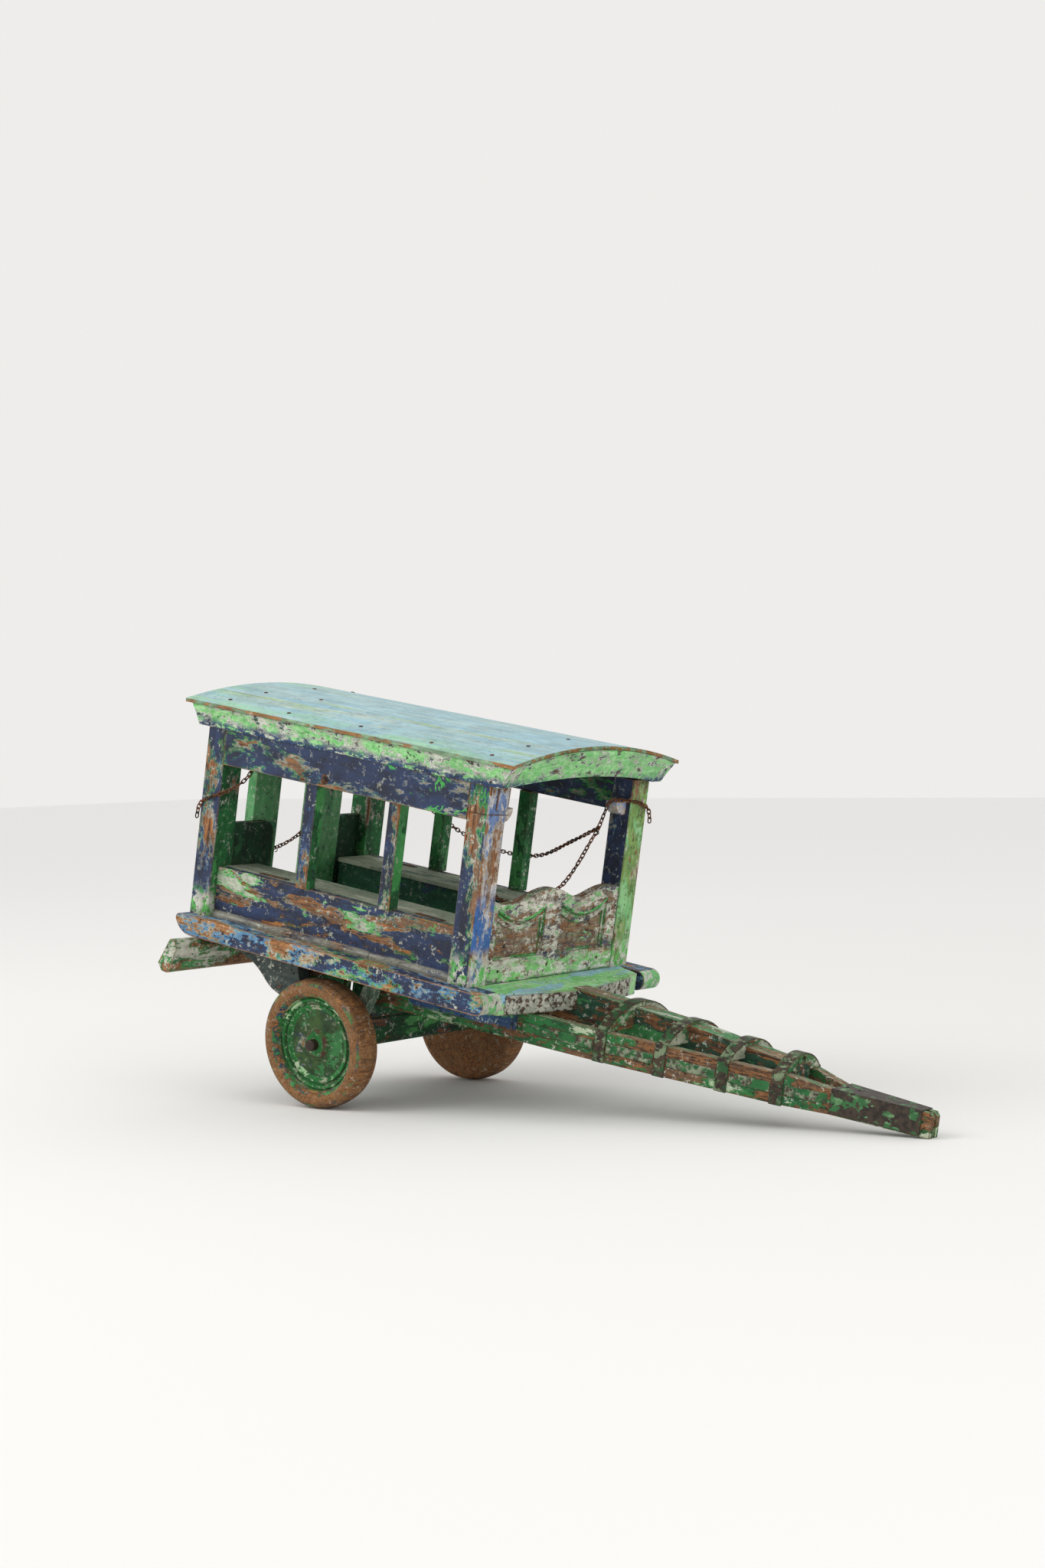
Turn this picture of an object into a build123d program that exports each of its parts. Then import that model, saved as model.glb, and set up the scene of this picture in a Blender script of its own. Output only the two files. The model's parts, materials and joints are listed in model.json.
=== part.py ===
from build123d import *
from math import asin, atan2, cos, degrees, hypot, radians, sin, tan
import os

# Two-wheeled covered cart of painted wood, a small antique bullock cart with a drawbar.
# Millimetres. The cart is laid out level first, with +X towards the drawbar's tip, +Y to
# its left, and the axle's centre at the origin. At the end everything is tipped nose-down
# until the wheels and the drawbar's tip stand on one floor, as the cart does when parked.

# ---- driving dimensions -------------------------------------------------------------
wheel_r = 90.0            # solid turned wheel
wheel_w = 47.0
wheel_y = 171.7           # middle of each wheel, from the cart's centre line
camber = {1: 1.0, -1: 4.0}  # degrees that each axle stub droops (left, right)
bore_clear = 0.05         # running clearance, radial
axle_r = 6.0
wheel_gap = 2.2           # wheel to axle beam

floor_z = 133.0           # top of the side sills and of the floor boards
floor_t = 12.0
cab_y = 185.4             # outer face of the posts, the cab's half width
sill_h, sill_w = 28.0, 40.0
sill_y = cab_y + 21.1     # the sills' outer face
sill_rear, sill_front = -262.0, 294.0

post_x, post_w = 34.0, 40.0   # corner post: along x, along y
cab_rear, cab_front = -257.0, 248.0
head_z, head_h, head_t = 401.0, 49.5, 20.0   # header boards: top, height, thickness

panel_y, panel_t = cab_y - 13.4, 14.0   # low side panels: outer face, thickness
seat_z, seat_t, seat_in = 205.0, 6.0, 88.0   # bench top, thickness, inner edge
apron_t, apron_back = 7.0, 4.0
bead_h, bead_out = 9.0, 5.0      # moulded bead along each side panel's foot
bar_w, bar_out = 20.0, cab_y - 5.4   # window bars: along x, outer face
bar_in = bar_out - 20.0
bars_x = {1: (-98.0, 53.0), -1: (-61.0, 88.0)}   # their middles, left and right side

roof_rear, roof_front, roof_y = -300.0, 287.0, cab_y + 7.6
roof_edge_z, roof_rise, roof_t = head_z + 33.6, 23.0, 5.0
roof_gap = 0.3
cornice_top_y, cornice_foot_y = cab_y + 5.1, cab_y + 1.6
cornice_ends = {"rear": (-291.0, -275.0), "front": (286.0, 265.0)}  # top edge, foot
arch_t, arch_foot, arch_mid = 20.0, head_z + 1.0, head_z + 12.5

front_panel_t, front_back = 16.0, 2.0   # thickness, set back from the posts' faces
wave_end = cab_y - post_w
front_wave = [(-wave_end, 247), (-105, 239), (-60, 247), (-22, 255), (4, 253),
              (52, 238), (88, 245), (119, 251), (wave_end, 248)]
field_deep, field_step = 3.5, 2.0

door_post = (52.0, 96.0, 16.0)   # inner side, outer side, thickness
jamb = (34.0, 52.0, 13.0)        # thin stop beside each door post
rear_panel_z, rear_panel_t = 266.0, 10.0

peg_reach, peg_h, peg_w, peg_top = 24.5, 18.0, 18.0, head_z - 32.0

board_bottom, board_tip_x, board_side_x = 101.0, 313.0, 284.0
board_nose_drop = 4.5

rail_plan = [(20, 110), (300, 88), (415, 79), (485, 69), (570, 57), (650, 46),
             (715, 25), (851, 11)]       # outer side of each drawbar rail
rail_t = 16.0
slot_half = 3.0
rail_top, rail_tip_top = 98.0, 91.0
rail_bottom, tip_bottom = 56.5, 58.7
rail_step = (660.0, 712.0)               # where the top drops to the tip's height
tip_x = rail_plan[-1][0]
pole_half, pole_end = 18.0, 657.0
pole_top = [(300, 130), (480, 122.5), (657, 107)]
saddle_x = (389.0, 477.0, 565.0, 641.0)
saddle_t = 16.0
saddle_top = (132.0, 125.5, 121.0, 119.5)
strap_t = 1.6
rope_hole_r = 4.5
cheek_t, cheek_low, cheek_x = 12.0, 72.0, (100.0, 268.0)
sheath_t, sheath_x = 1.4, (716.0, 838.0)

bolster_half = 92.0
beam_x, beam_low, beam_high = 20.0, -9.5, 32.0     # axle beam: half width, bottom, top
wheel_in = wheel_y - wheel_w / 2                    # the wheel's inner face
hanger_y = (wheel_in - 26.2, wheel_in - 4.2)
strut_y = (wheel_in - 22.2, wheel_in - 3.2)
cross_half = 252.0                                  # rear cross beam's half length

chain_d = 4.0

shapes = {}


def add(name, shape):
    """Keep one piece under its node name, as one clean solid."""
    shapes[name] = shape.clean() if hasattr(shape, "clean") else shape


def block(x0, x1, y0, y1, z0, z1):
    """A box between two corners, in any order along y."""
    lo, hi = min(y0, y1), max(y0, y1)
    return Pos((x0 + x1) / 2, (lo + hi) / 2, (z0 + z1) / 2) * Box(x1 - x0, hi - lo, z1 - z0)


def plate_xz(points, y0, y1):
    """A flat piece with its outline in x and z, from y0 to y1."""
    lo, hi = min(y0, y1), max(y0, y1)
    face = make_face(Polyline(*[(x, 0, z) for x, z in points], close=True))
    return Pos(0, lo, 0) * extrude(face, amount=hi - lo, dir=(0, 1, 0))


def plate_xy(points, z0, z1):
    """A flat piece with its outline in x and y, from z0 to z1."""
    face = make_face(Polyline(*[(x, y, z0) for x, y in points], close=True))
    return extrude(face, amount=z1 - z0, dir=(0, 0, 1))


def plate_yz(wires, x0, x1):
    """A flat piece whose outline in y and z is given as edges, from x0 to x1."""
    face = make_face(wires)
    return Pos(x0, 0, 0) * extrude(face, amount=x1 - x0, dir=(1, 0, 0))


def yz(y, z):
    return (0, y, z)


SIDES = (("left", 1), ("right", -1))

# ---- side sills, with a half-round nose and a sledge-like heel -----------------------
nose_x = sill_front - sill_h / 2
sill_z = floor_z - sill_h
with BuildSketch(Plane.XZ) as sill_outline:
    with BuildLine():
        a = Line((nose_x, floor_z), (sill_rear + 6, floor_z))
        b = ThreePointArc(a @ 1, (sill_rear + 1, floor_z - 2.5), (sill_rear, floor_z - 8))
        c = ThreePointArc(b @ 1, (sill_rear + 11, sill_z + 6.5), (sill_rear + 33, sill_z))
        d = Line(c @ 1, (nose_x, sill_z))
        ThreePointArc(d @ 1, (sill_front, floor_z - sill_h / 2), (nose_x, floor_z))
    make_face()
for side, s in SIDES:
    y_hi = max(s * sill_y, s * (sill_y - sill_w))
    add(f"sill_{side}", Pos(0, y_hi, 0) * extrude(sill_outline.sketch, amount=sill_w))

sill_in = sill_y - sill_w
add("floor_boards", block(cab_rear, cab_front, -sill_in, sill_in, floor_z - floor_t, floor_z))

# ---- rear cross beam: a leaning plank with its edges taken off -----------------------
cross_profile = [(-226, sill_z), (-218, sill_z), (-212, 95), (-221, 60), (-226, 57),
                 (-236, 58), (-244, 68)]
add("rear_cross_beam", plate_xz(cross_profile, -cross_half, cross_half))

# ---- axle beam, bolster, curved hangers and struts -----------------------------------
hub_in = wheel_in
beam_half = hub_in - wheel_gap
beam = block(-beam_x, beam_x, -beam_half, beam_half, beam_low, beam_high)
beam = chamfer(beam.edges().filter_by(Axis.Y), 4)
add("bolster", block(-beam_x, beam_x, -bolster_half, bolster_half, beam_high, floor_z - floor_t))

under = floor_z - floor_t
for side, s in SIDES:
    with BuildSketch(Plane.XZ) as hanger_outline:
        with BuildLine():
            a = Line((-80, under), (-208, under))
            b = Line(a @ 1, (-208, 89))
            c = Spline(b @ 1, (-184, 84), (-150, 68), (-128, 50), (-90, 38), (-beam_x, 4))
            d = Line(c @ 1, (-beam_x, 28))
            Spline(d @ 1, (-48, 44), (-72, 66), (-80, 92), (-80, under))
        make_face()
    y_hi = max(s * hanger_y[0], s * hanger_y[1])
    hanger = Pos(0, y_hi, 0) * extrude(hanger_outline.sketch, amount=hanger_y[1] - hanger_y[0])
    add(f"hanger_{side}", hanger)
    strut = [(22, beam_high), (40, beam_high), (73, under), (55, under)]
    add(f"strut_{side}", plate_xz(strut, s * strut_y[0], s * strut_y[1]))

# ---- iron axle with drooping stubs, and the turned wheels ----------------------------
boss_u = 13.0             # outer face of the hub's boss, from the wheel's middle
wheel_gap_out = 0.7       # boss to the riveted axle head


def stub_place(s):
    """Where a wheel turns: its frame's z axis points outwards along the axle stub."""
    tilt = radians(camber[s])
    out = Vector(0, s * cos(tilt), -sin(tilt))
    return Plane(origin=(0, s * wheel_y, 0), x_dir=(1, 0, 0), z_dir=out), out


wheel_frames = {}
stub_in = wheel_w / 2 + wheel_gap - 0.6
stub_out = boss_u + wheel_gap_out
axle = Rot(90, 0, 0) * Cylinder(axle_r, 2 * beam_half + wheel_gap)
for side, s in SIDES:
    frame, out = stub_place(s)
    wheel_frames[side] = (frame, out)
    stub = Pos(0, 0, (stub_out - stub_in) / 2) * Cylinder(axle_r, stub_out + stub_in)
    head = Pos(0, 0, stub_out + 5) * Cylinder(8.0, 10)
    head = fillet(head.edges().sort_by(Axis.Z)[-1], 2.5)
    axle += frame.location * (stub + head)
add("axle_iron", axle)
passage = Rot(90, 0, 0) * Cylinder(axle_r, 2 * beam_half + 30)
add("axle_beam", beam - passage)

half_w = wheel_w / 2
with BuildSketch(Plane.XZ) as wheel_half:
    with BuildLine():
        Polyline((axle_r + bore_clear, -half_w), (axle_r + bore_clear, boss_u), (17, boss_u),
                 (20, 9), (21, 6.0), (47, 4.0), (50, 5.5), (52, 8.0), (54, 8.0), (56, 4.5),
                 (58, 4.5), (59.5, 9.0), (62.5, 9.5), (64.5, 7.0), (66, 13.0))
        ThreePointArc((66, 13.0), (77.5, half_w - 1), (wheel_r - 1.5, 9))
        ThreePointArc((wheel_r - 1.5, 9), (wheel_r, 0), (wheel_r - 2.0, -11))
        ThreePointArc((wheel_r - 2.0, -11), (85, -20), (77, -half_w))
        Line((77, -half_w), (axle_r + bore_clear, -half_w))
    make_face()
wheel = revolve(wheel_half.sketch, axis=Axis.Z, revolution_arc=360)
for side, s in SIDES:
    add(f"wheel_{side}", wheel_frames[side][0].location * wheel)

# ---- cab frame: posts, headers, window bars ------------------------------------------
post_in = cab_y - post_w
head_low = head_z - head_h
rear_in, front_in = cab_rear + post_x, cab_front - post_x
for side, s in SIDES:
    for end, x0 in (("rear", cab_rear), ("front", front_in)):
        post = block(x0, x0 + post_x, s * post_in, s * cab_y, floor_z, head_z)
        add(f"post_{end}_{side}", chamfer(post.edges().filter_by(Axis.Z), 1.2))
    add(f"header_{side}", block(rear_in, front_in, s * (cab_y - head_t), s * cab_y, head_low, head_z))
    for number, x in enumerate(bars_x[s], start=1):
        bar = block(x - bar_w / 2, x + bar_w / 2, s * bar_in, s * bar_out, seat_z, head_low)
        add(f"window_bar_{side}_{number}", chamfer(bar.edges().filter_by(Axis.Z), 1.0))

# ---- low side panels with a bead at the foot, benches and their aprons ---------------
for side, s in SIDES:
    panel_in = panel_y - panel_t
    panel = block(rear_in, front_in, s * panel_in, s * panel_y, floor_z, seat_z)
    y0, y1 = s * panel_y, s * (panel_y + bead_out)
    foot = [(y0, floor_z), (y1, floor_z), (y1, floor_z + bead_h / 2),
            (y0 + s * bead_out * 0.55, floor_z + bead_h * 0.85), (y0, floor_z + bead_h)]
    bead = plate_yz(Polyline(*[yz(*p) for p in foot], close=True), rear_in, front_in)
    add(f"side_panel_{side}", panel + bead)
    seat = block(rear_in, front_in, s * seat_in, s * panel_in, seat_z - seat_t, seat_z)
    edge = seat.edges().filter_by(Axis.X).group_by(Axis.Z)[-1]
    lip = edge.sort_by(Axis.Y)[0] if s > 0 else edge.sort_by(Axis.Y)[-1]
    add(f"bench_{side}", fillet(lip, 2.5))
    y0 = s * (seat_in + apron_back)
    add(f"bench_apron_{side}",
        block(rear_in, front_in, y0, y0 + s * apron_t, floor_z, seat_z - seat_t))

# ---- rear wall: door posts with stops, and half-height panels ------------------------
for side, s in SIDES:
    inner, outer, thick = door_post
    post = block(cab_rear + 5, cab_rear + 5 + thick, s * inner, s * outer, floor_z, head_z)
    stop = block(cab_rear, cab_rear + jamb[2], s * jamb[0], s * jamb[1], floor_z, head_z)
    add(f"door_post_{side}", post + stop)
panel_x = cab_rear + 5 + door_post[2]
round_r = 20.0
near = block(panel_x, panel_x + rear_panel_t, -post_in, -60, floor_z, rear_panel_z)
corner = near.edges().filter_by(Axis.X).group_by(Axis.Z)[-1].sort_by(Axis.Y)[-1]
add("rear_panel_right", fillet(corner, round_r))
add("rear_panel_left",
    block(cab_rear + 9, cab_rear + 9 + rear_panel_t, door_post[1], post_in, floor_z, rear_panel_z))

# ---- carved front panel ---------------------------------------------------------------
front_x = cab_front - front_back
with BuildLine(Plane.YZ) as wave:
    top = Spline(*front_wave)
    Polyline(top @ 1, (front_wave[-1][0], floor_z), (front_wave[0][0], floor_z), top @ 0)
panel = plate_yz(wave.line, front_x - front_panel_t, front_x)


def carved_field(y0, y1, low, high, sag, deep):
    """A sunken field whose top edge sags like a swag, cut in from the panel's face."""
    with BuildLine(Plane.YZ) as line:
        swag = ThreePointArc((y0, high), ((y0 + y1) / 2, high - sag), (y1, high))
        Polyline(swag @ 1, (y1, low), (y0, low), swag @ 0)
    return plate_yz(line.line, front_x - deep, front_x + 1)


for y0, y1 in ((-133, -24), (12, 121)):
    panel -= carved_field(y0, y1, 164, 232, 17, field_deep)
    panel -= carved_field(y0 + 5, y1 - 5, 166, 218, 15, field_deep + field_step)
add("front_panel", panel)

# ---- front footboard with a blunt V nose, its top falling slightly forwards -----------
board = plate_xy([(cab_front, -sill_in), (board_side_x, -(sill_in - 6)), (board_tip_x, 0),
                  (board_side_x, sill_in - 6), (cab_front, sill_in)], board_bottom, floor_z)
wedge = [(cab_front, floor_z), (board_tip_x + 1, floor_z - board_nose_drop),
         (board_tip_x + 1, floor_z + 5), (cab_front, floor_z + 5)]
board -= plate_xz(wedge, -sill_y, sill_y)
add("front_board", board)

# ---- roof: one crowned board, cornices, arched end boards -----------------------------


def roof_arc(drop, half):
    """Edges of the region below the roof's crown, lowered by drop, out to half."""
    z_edge, z_mid = roof_edge_z - drop, roof_edge_z + roof_rise - drop
    r = (roof_y ** 2 + roof_rise ** 2) / (2 * roof_rise)
    z_at = z_mid - (r - (r * r - half * half) ** 0.5)
    return (-half, z_at), (0, z_mid), (half, z_at)


def crown_band(drop_top, drop_low, half, x0, x1):
    """The slab between two copies of the roof's crown."""
    hi, lo = roof_arc(drop_top, half), roof_arc(drop_low, half)
    with BuildLine() as line:
        a = ThreePointArc(*[yz(*p) for p in hi])
        b = Line(a @ 1, yz(*lo[2]))
        c = ThreePointArc(b @ 1, yz(*lo[1]), yz(*lo[0]))
        Line(c @ 1, a @ 0)
    return plate_yz(line.line, x0, x1)


add("roof_board", crown_band(0, roof_t, roof_y, roof_rear, roof_front))
above = crown_band(-60, roof_t + roof_gap, roof_y + 20, roof_rear - 20, roof_front + 20)


def end_slope(end):
    """The solid beyond the sloping end face of the cornice, to be cut away."""
    top_x, foot_x = cornice_ends[end]
    far = 60 if end == "front" else -60
    z0, z1 = head_z, roof_edge_z
    run = (top_x - foot_x) / (z1 - z0)
    low, high = (foot_x - 5 * run, z0 - 5), (top_x + 40 * run, z1 + 40)
    return plate_xz([low, high, (high[0] + far, high[1]), (low[0] + far, low[1])], -250, 250)


for side, s in SIDES:
    y_in = cab_y - head_t
    with BuildLine() as line:
        a = Line(yz(s * y_in, head_z), yz(s * cornice_foot_y, head_z))
        b = Line(a @ 1, yz(s * (cornice_foot_y + 0.5), head_z + 3))
        c = ThreePointArc(b @ 1, yz(s * (cornice_foot_y + 0.8), head_z + 14),
                          yz(s * cornice_top_y, head_z + 25))
        d = Line(c @ 1, yz(s * cornice_top_y, roof_edge_z + 5))
        Polyline(d @ 1, yz(s * y_in, roof_edge_z + 5), a @ 0)
    cornice = plate_yz(line.line, cornice_ends["rear"][0] - 8, cornice_ends["front"][0] + 8)
    cornice = cornice - above - end_slope("rear") - end_slope("front")
    add(f"cornice_{side}", cornice)

for end in ("rear", "front"):
    x_top, x_foot = cornice_ends[end]
    x_back = cab_rear if end == "rear" else cab_front
    x0, x1 = (x_top - 8, x_back + 6) if end == "rear" else (x_back - 6, x_top + 8)
    y_in = cab_y - head_t
    with BuildLine() as line:
        a = ThreePointArc(yz(-y_in, arch_foot), yz(0, arch_mid), yz(y_in, arch_foot))
        Polyline(a @ 1, yz(y_in, roof_edge_z + 60), yz(-y_in, roof_edge_z + 60), a @ 0)
    arch = plate_yz(line.line, x0, x1) - above - end_slope(end)
    add(f"arch_{end}", arch)

# ---- half-round pegs inside the front posts -------------------------------------------
peg_x = front_in + 8
for side, s in SIDES:
    y0, y1 = s * post_in, s * (post_in - peg_reach)
    with BuildLine() as line:
        a = Polyline(yz(y0, peg_top - peg_h), yz(y0, peg_top), yz(y1, peg_top), yz(y1, peg_top - 5))
        ThreePointArc(a @ 1, yz(y1 + s * peg_reach * 0.3, peg_top - peg_h + 3), a @ 0)
    add(f"peg_{side}", plate_yz(line.line, peg_x, peg_x + peg_w))

# ---- drawbar: two rails, a centre pole, four saddles with straps, sheathed tip ---------


def outer_y(x):
    """The rail's outer face at x, along the straight pieces of its plan."""
    for (xa, ya), (xb, yb) in zip(rail_plan, rail_plan[1:]):
        if x <= xb:
            return ya + (yb - ya) * (x - xa) / (xb - xa)
    return rail_plan[-1][1]


def rail_outline(s, grow=0.0, inner=None):
    """The rail's plan on one side, with its outer face moved out by grow."""
    out = [(x, s * (y + grow)) for x, y in rail_plan]
    back = [(x, s * max(y - rail_t, slot_half)) for x, y in reversed(rail_plan)]
    return out + (back if inner is None else [(tip_x, s * inner), (rail_plan[0][0], s * inner)])


side_view = [(rail_plan[0][0], rail_bottom), (tip_x, tip_bottom), (tip_x, rail_tip_top - 5),
             (tip_x - 4, rail_tip_top), (rail_step[1], rail_tip_top), (rail_step[0], rail_top),
             (rail_plan[0][0], rail_top)]
rail_solid = {}
for side, s in SIDES:
    rail = plate_xy(rail_outline(s), 0, 200) & plate_xz(side_view, -200, 200)
    rail_solid[s] = rail
    add(f"drawbar_rail_{side}", rail)
    x0, x1 = cheek_x
    plank = [(x0, s * outer_y(x0)), (x1, s * outer_y(x1)),
             (x1, s * (outer_y(x1) + cheek_t)), (x0, s * (outer_y(x0) + cheek_t))]
    cheek = plate_xy(plank, cheek_low, rail_top)
    add(f"drawbar_cheek_{side}", cheek - rail)

pole_side = ([(beam_x, rail_bottom), (pole_end, rail_bottom)] + [tuple(p) for p in reversed(pole_top)]
             + [(300, board_bottom), (beam_x, board_bottom)])
pole = plate_xz(pole_side, -pole_half, pole_half)
pole = pole - shapes["front_board"] - rail_solid[1] - rail_solid[-1]
add("drawbar_pole", pole)

for number, (x0, z_top) in enumerate(zip(saddle_x, saddle_top), start=1):
    x1 = x0 + saddle_t
    w = outer_y(x1)

    def arch_block(grow):
        """The saddle's arch, grown outwards, standing on the rails' tops."""
        with BuildLine() as line:
            a = ThreePointArc(yz(-w - grow, rail_top), yz(0, z_top + grow), yz(w + grow, rail_top))
            Line(a @ 1, a @ 0)
        return plate_yz(line.line, x0, x1)

    saddle = arch_block(0) - pole
    if number == 4:
        centre = Pos((x0 + x1) / 2, 0, pole_top[-1][1] + rope_hole_r + 1.2)
        saddle -= centre * Rot(0, 90, 0) * Cylinder(rope_hole_r, saddle_t + 2)
        rope_hole = Vector(x0 + saddle_t, 0, pole_top[-1][1] + rope_hole_r + 1.2)
    add(f"saddle_{number}", saddle)
    strap = arch_block(strap_t) - arch_block(0)
    for s in (1, -1):
        leg = plate_xy(rail_outline(s, strap_t), rail_bottom + 0.5, rail_top + 2.5)
        leg = (leg & block(x0, x1, s * (w - 0.5), s * 140, 0, 200)) - rail_solid[s]
        strap += leg - arch_block(0)
    add(f"strap_{number}", strap - saddle - pole)

x0, x1 = sheath_x
shell = plate_xy(rail_outline(1, sheath_t, 0) , tip_bottom + 1.5, rail_tip_top + sheath_t)
shell += plate_xy(rail_outline(-1, sheath_t, 0), tip_bottom + 1.5, rail_tip_top + sheath_t)
core = plate_xy(rail_outline(1, 0, 0), 0, rail_tip_top) + plate_xy(rail_outline(-1, 0, 0), 0, rail_tip_top)
sheath = (shell - core) & block(x0, x1, -60, 60, 0, 200)
for hole_x in (724.0, 742.0):
    sheath -= Pos(hole_x, 0, rail_tip_top) * Cylinder(2.6, 10)
add("tip_sheath", sheath)

# ---- chains, each as one tube along its line ------------------------------------------
chains = {
    "chain_front": [(252.4, 191.5, 338), (252.0, 190.0, 357), (251.2, 170, 367),
                    (251.0, 145, 371.8), (244, 129, 371.9), (231, 117.2, 371.2),
                    (228, 112, 352), (226, 104, 328), (225, 90, 311), (224, 76, 290),
                    (223, 58, 268), (222, 38, 250), (221.5, 5, 238), (221.5, -35, 232),
                    (221.5, -75, 234), (221.5, -110, 243), (223, -141, 262)],
    "chain_side": [(-236, 188.0, 352), (-190, 190, 318), (-140, 191.5, 289),
                   (-90, 192, 268), (-45, 192, 256), (0, 191.5, 250.5), (45, 190, 252),
                   (80, 184, 260), (110, 172, 274), (145, 152, 292), (185, 131, 311),
                   (222, 112.5, 331)],
    "chain_rear": [(-260.0, -187.5, 268), (-259.6, -188.4, 288), (-246, -188.6, 299),
                   (-222, -188.0, 309), (-205, -178, 320), (-194, -166.5, 334),
                   (-187, -161.5, 350), (-184, -162.6, 366)],
    "chain_door": [(-250, -33.2, 218.5), (-250, -17, 221.5), (-250, 0, 227),
                   (-250, 18, 234.5), (-250, 33.0, 243)],
}


def chain_tube(name, points):
    """Straight runs joined by tangent arcs, each arc within its shorter run."""
    vectors = [Vector(*p) for p in points]
    radii = []
    for a, b, c in zip(vectors, vectors[1:], vectors[2:]):
        first, second = b - a, c - b
        turn = radians(first.get_angle(second))
        radii.append(0.45 * min(first.length, second.length) / tan(turn / 2))
    path = FilletPolyline(*points, radius=radii)
    start = Plane(origin=path @ 0, z_dir=path % 0)
    tube = sweep(start * Circle(chain_d / 2), path=path)
    print(f"{name}: length {path.length:.1f} mm, arc radii "
          f"{[round(r, 1) for r in radii]}")
    return tube


for name, points in chains.items():
    add(name, chain_tube(name, points))

# ---- tip the cart nose-down onto its wheels and drawbar --------------------------------
reach = hypot(tip_x, tip_bottom)
pitch = atan2(tip_bottom, tip_x) + asin(wheel_r / reach)
print(f"parked pitch {degrees(pitch):.3f} degrees")
tip_down = Pos(0, 0, wheel_r) * Rot(0, degrees(pitch), 0)
parked = {name: tip_down * shape for name, shape in shapes.items()}
not_cord = [s.bounding_box(optimal=True) for n, s in parked.items() if not n.startswith("chain")]
x_mid = (min(b.min.X for b in not_cord) + max(b.max.X for b in not_cord)) / 2
y_mid = (min(b.min.Y for b in not_cord) + max(b.max.Y for b in not_cord)) / 2
z_low = min(b.min.Z for b in not_cord)
settle = Pos(-x_mid, -y_mid, -z_low)
for name, shape in parked.items():
    if shape.bounding_box(optimal=True).min.Z < z_low + 0.4:
        print(f"{name} stands on the floor")
print(f"shift x {-x_mid:.4f} y {-y_mid:.4f} z {-z_low:.4f}")

os.makedirs("parts", exist_ok=True)
for name, shape in parked.items():
    placed = settle * shape
    solids = placed.solids()
    export_step(Compound(children=solids) if len(solids) > 1 else solids[0], f"parts/{name}.step")
    if len(solids) > 1:
        print(f"{name}: {len(solids)} solids")

whole = settle * tip_down


def tell(label, point, direction=None):
    """Print a place, and a direction, as they stand in the parked cart, in metres."""
    p = (whole * Pos(*point)).position
    text = f"{label} {[round(v / 1000, 6) for v in p]}"
    if direction is not None:
        q = (whole * Pos(*(Vector(*point) + Vector(*direction)))).position
        text += f" axis {[round(v, 6) for v in (q - p)]}"
    print(text)


for side, s in SIDES:
    frame, out = wheel_frames[side]
    tell(f"wheel_{side}", tuple(frame.origin), tuple(out))
tell("rope_hole", tuple(rope_hole), (1, 0, 0))
tell("tip underside", (tip_x - 60, -10, tip_bottom), (0, 0, -1))
tell("bench right", (0, -(seat_in + panel_y - panel_t) / 2, seat_z), (0, 0, 1))
tell("bench left", (0, (seat_in + panel_y - panel_t) / 2, seat_z), (0, 0, 1))
tell("floor", (0, 0, floor_z), (0, 0, 1))
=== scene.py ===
# %% [markdown]
# # A little covered bullock cart of old painted wood
# The cart is a small two-wheeled model with a crowned roof, open windows, a carved front
# panel and a long drawbar. It stands parked, tipped nose-down onto its wheels and the tip
# of the drawbar. Its bodies come measured and in place from the workshop frame, so this
# lesson only has to bring what the frame can't hold: paint that has flaked for a hundred
# years, hand-linked chain, nails, tin and rust. First the frame is opened.

# %% Open the frame
import json
from math import cos, pi, radians, sin, sqrt, tau
import bmesh
import bpy
from mathutils import Matrix, Vector, noise

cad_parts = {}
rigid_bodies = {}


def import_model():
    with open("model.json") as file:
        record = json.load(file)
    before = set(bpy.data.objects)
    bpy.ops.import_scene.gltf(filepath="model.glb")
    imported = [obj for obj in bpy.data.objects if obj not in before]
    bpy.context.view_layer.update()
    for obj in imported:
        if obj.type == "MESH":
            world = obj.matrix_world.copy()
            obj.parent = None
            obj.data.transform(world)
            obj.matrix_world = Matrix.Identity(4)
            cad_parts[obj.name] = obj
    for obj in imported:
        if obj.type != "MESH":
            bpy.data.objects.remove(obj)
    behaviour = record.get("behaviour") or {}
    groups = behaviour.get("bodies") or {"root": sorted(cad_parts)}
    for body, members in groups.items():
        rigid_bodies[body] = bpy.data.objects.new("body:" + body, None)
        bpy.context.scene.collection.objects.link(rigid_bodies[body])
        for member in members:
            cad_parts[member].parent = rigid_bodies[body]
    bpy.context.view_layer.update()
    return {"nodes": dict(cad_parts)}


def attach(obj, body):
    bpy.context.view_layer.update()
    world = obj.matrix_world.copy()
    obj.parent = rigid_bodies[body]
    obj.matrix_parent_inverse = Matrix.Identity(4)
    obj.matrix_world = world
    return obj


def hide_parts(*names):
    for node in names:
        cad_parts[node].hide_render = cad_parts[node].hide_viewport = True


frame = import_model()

print("nodes in the frame:", len(frame["nodes"]))

# %% [markdown]
# ## Places on a tipped cart
# A maker measures a cart while it stands level: along it from the axle, across it from the
# middle, and up from the axle. The parked cart is tipped by ten degrees. One small helper
# turns a level place in millimetres into a parked place in metres, so that every nail below
# can be given as it would be marked out on the bench. A second one turns directions only.

# %% Level places to parked places
TIPPED = radians(10.002)
AXLE = Vector((-308.3292, 0.0, 90.0))   # the axle centre, parked


def turn(x, y, z):
    """A direction on the level cart, as it points when parked."""
    return Vector((x * cos(TIPPED) + z * sin(TIPPED), y, z * cos(TIPPED) - x * sin(TIPPED)))


def at(x, y, z):
    """A level place in millimetres, as a parked place in metres."""
    return (turn(x, y, z) + AXLE) / 1000


print("axle centre, parked:", [round(v, 4) for v in at(0, 0, 0)])

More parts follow.
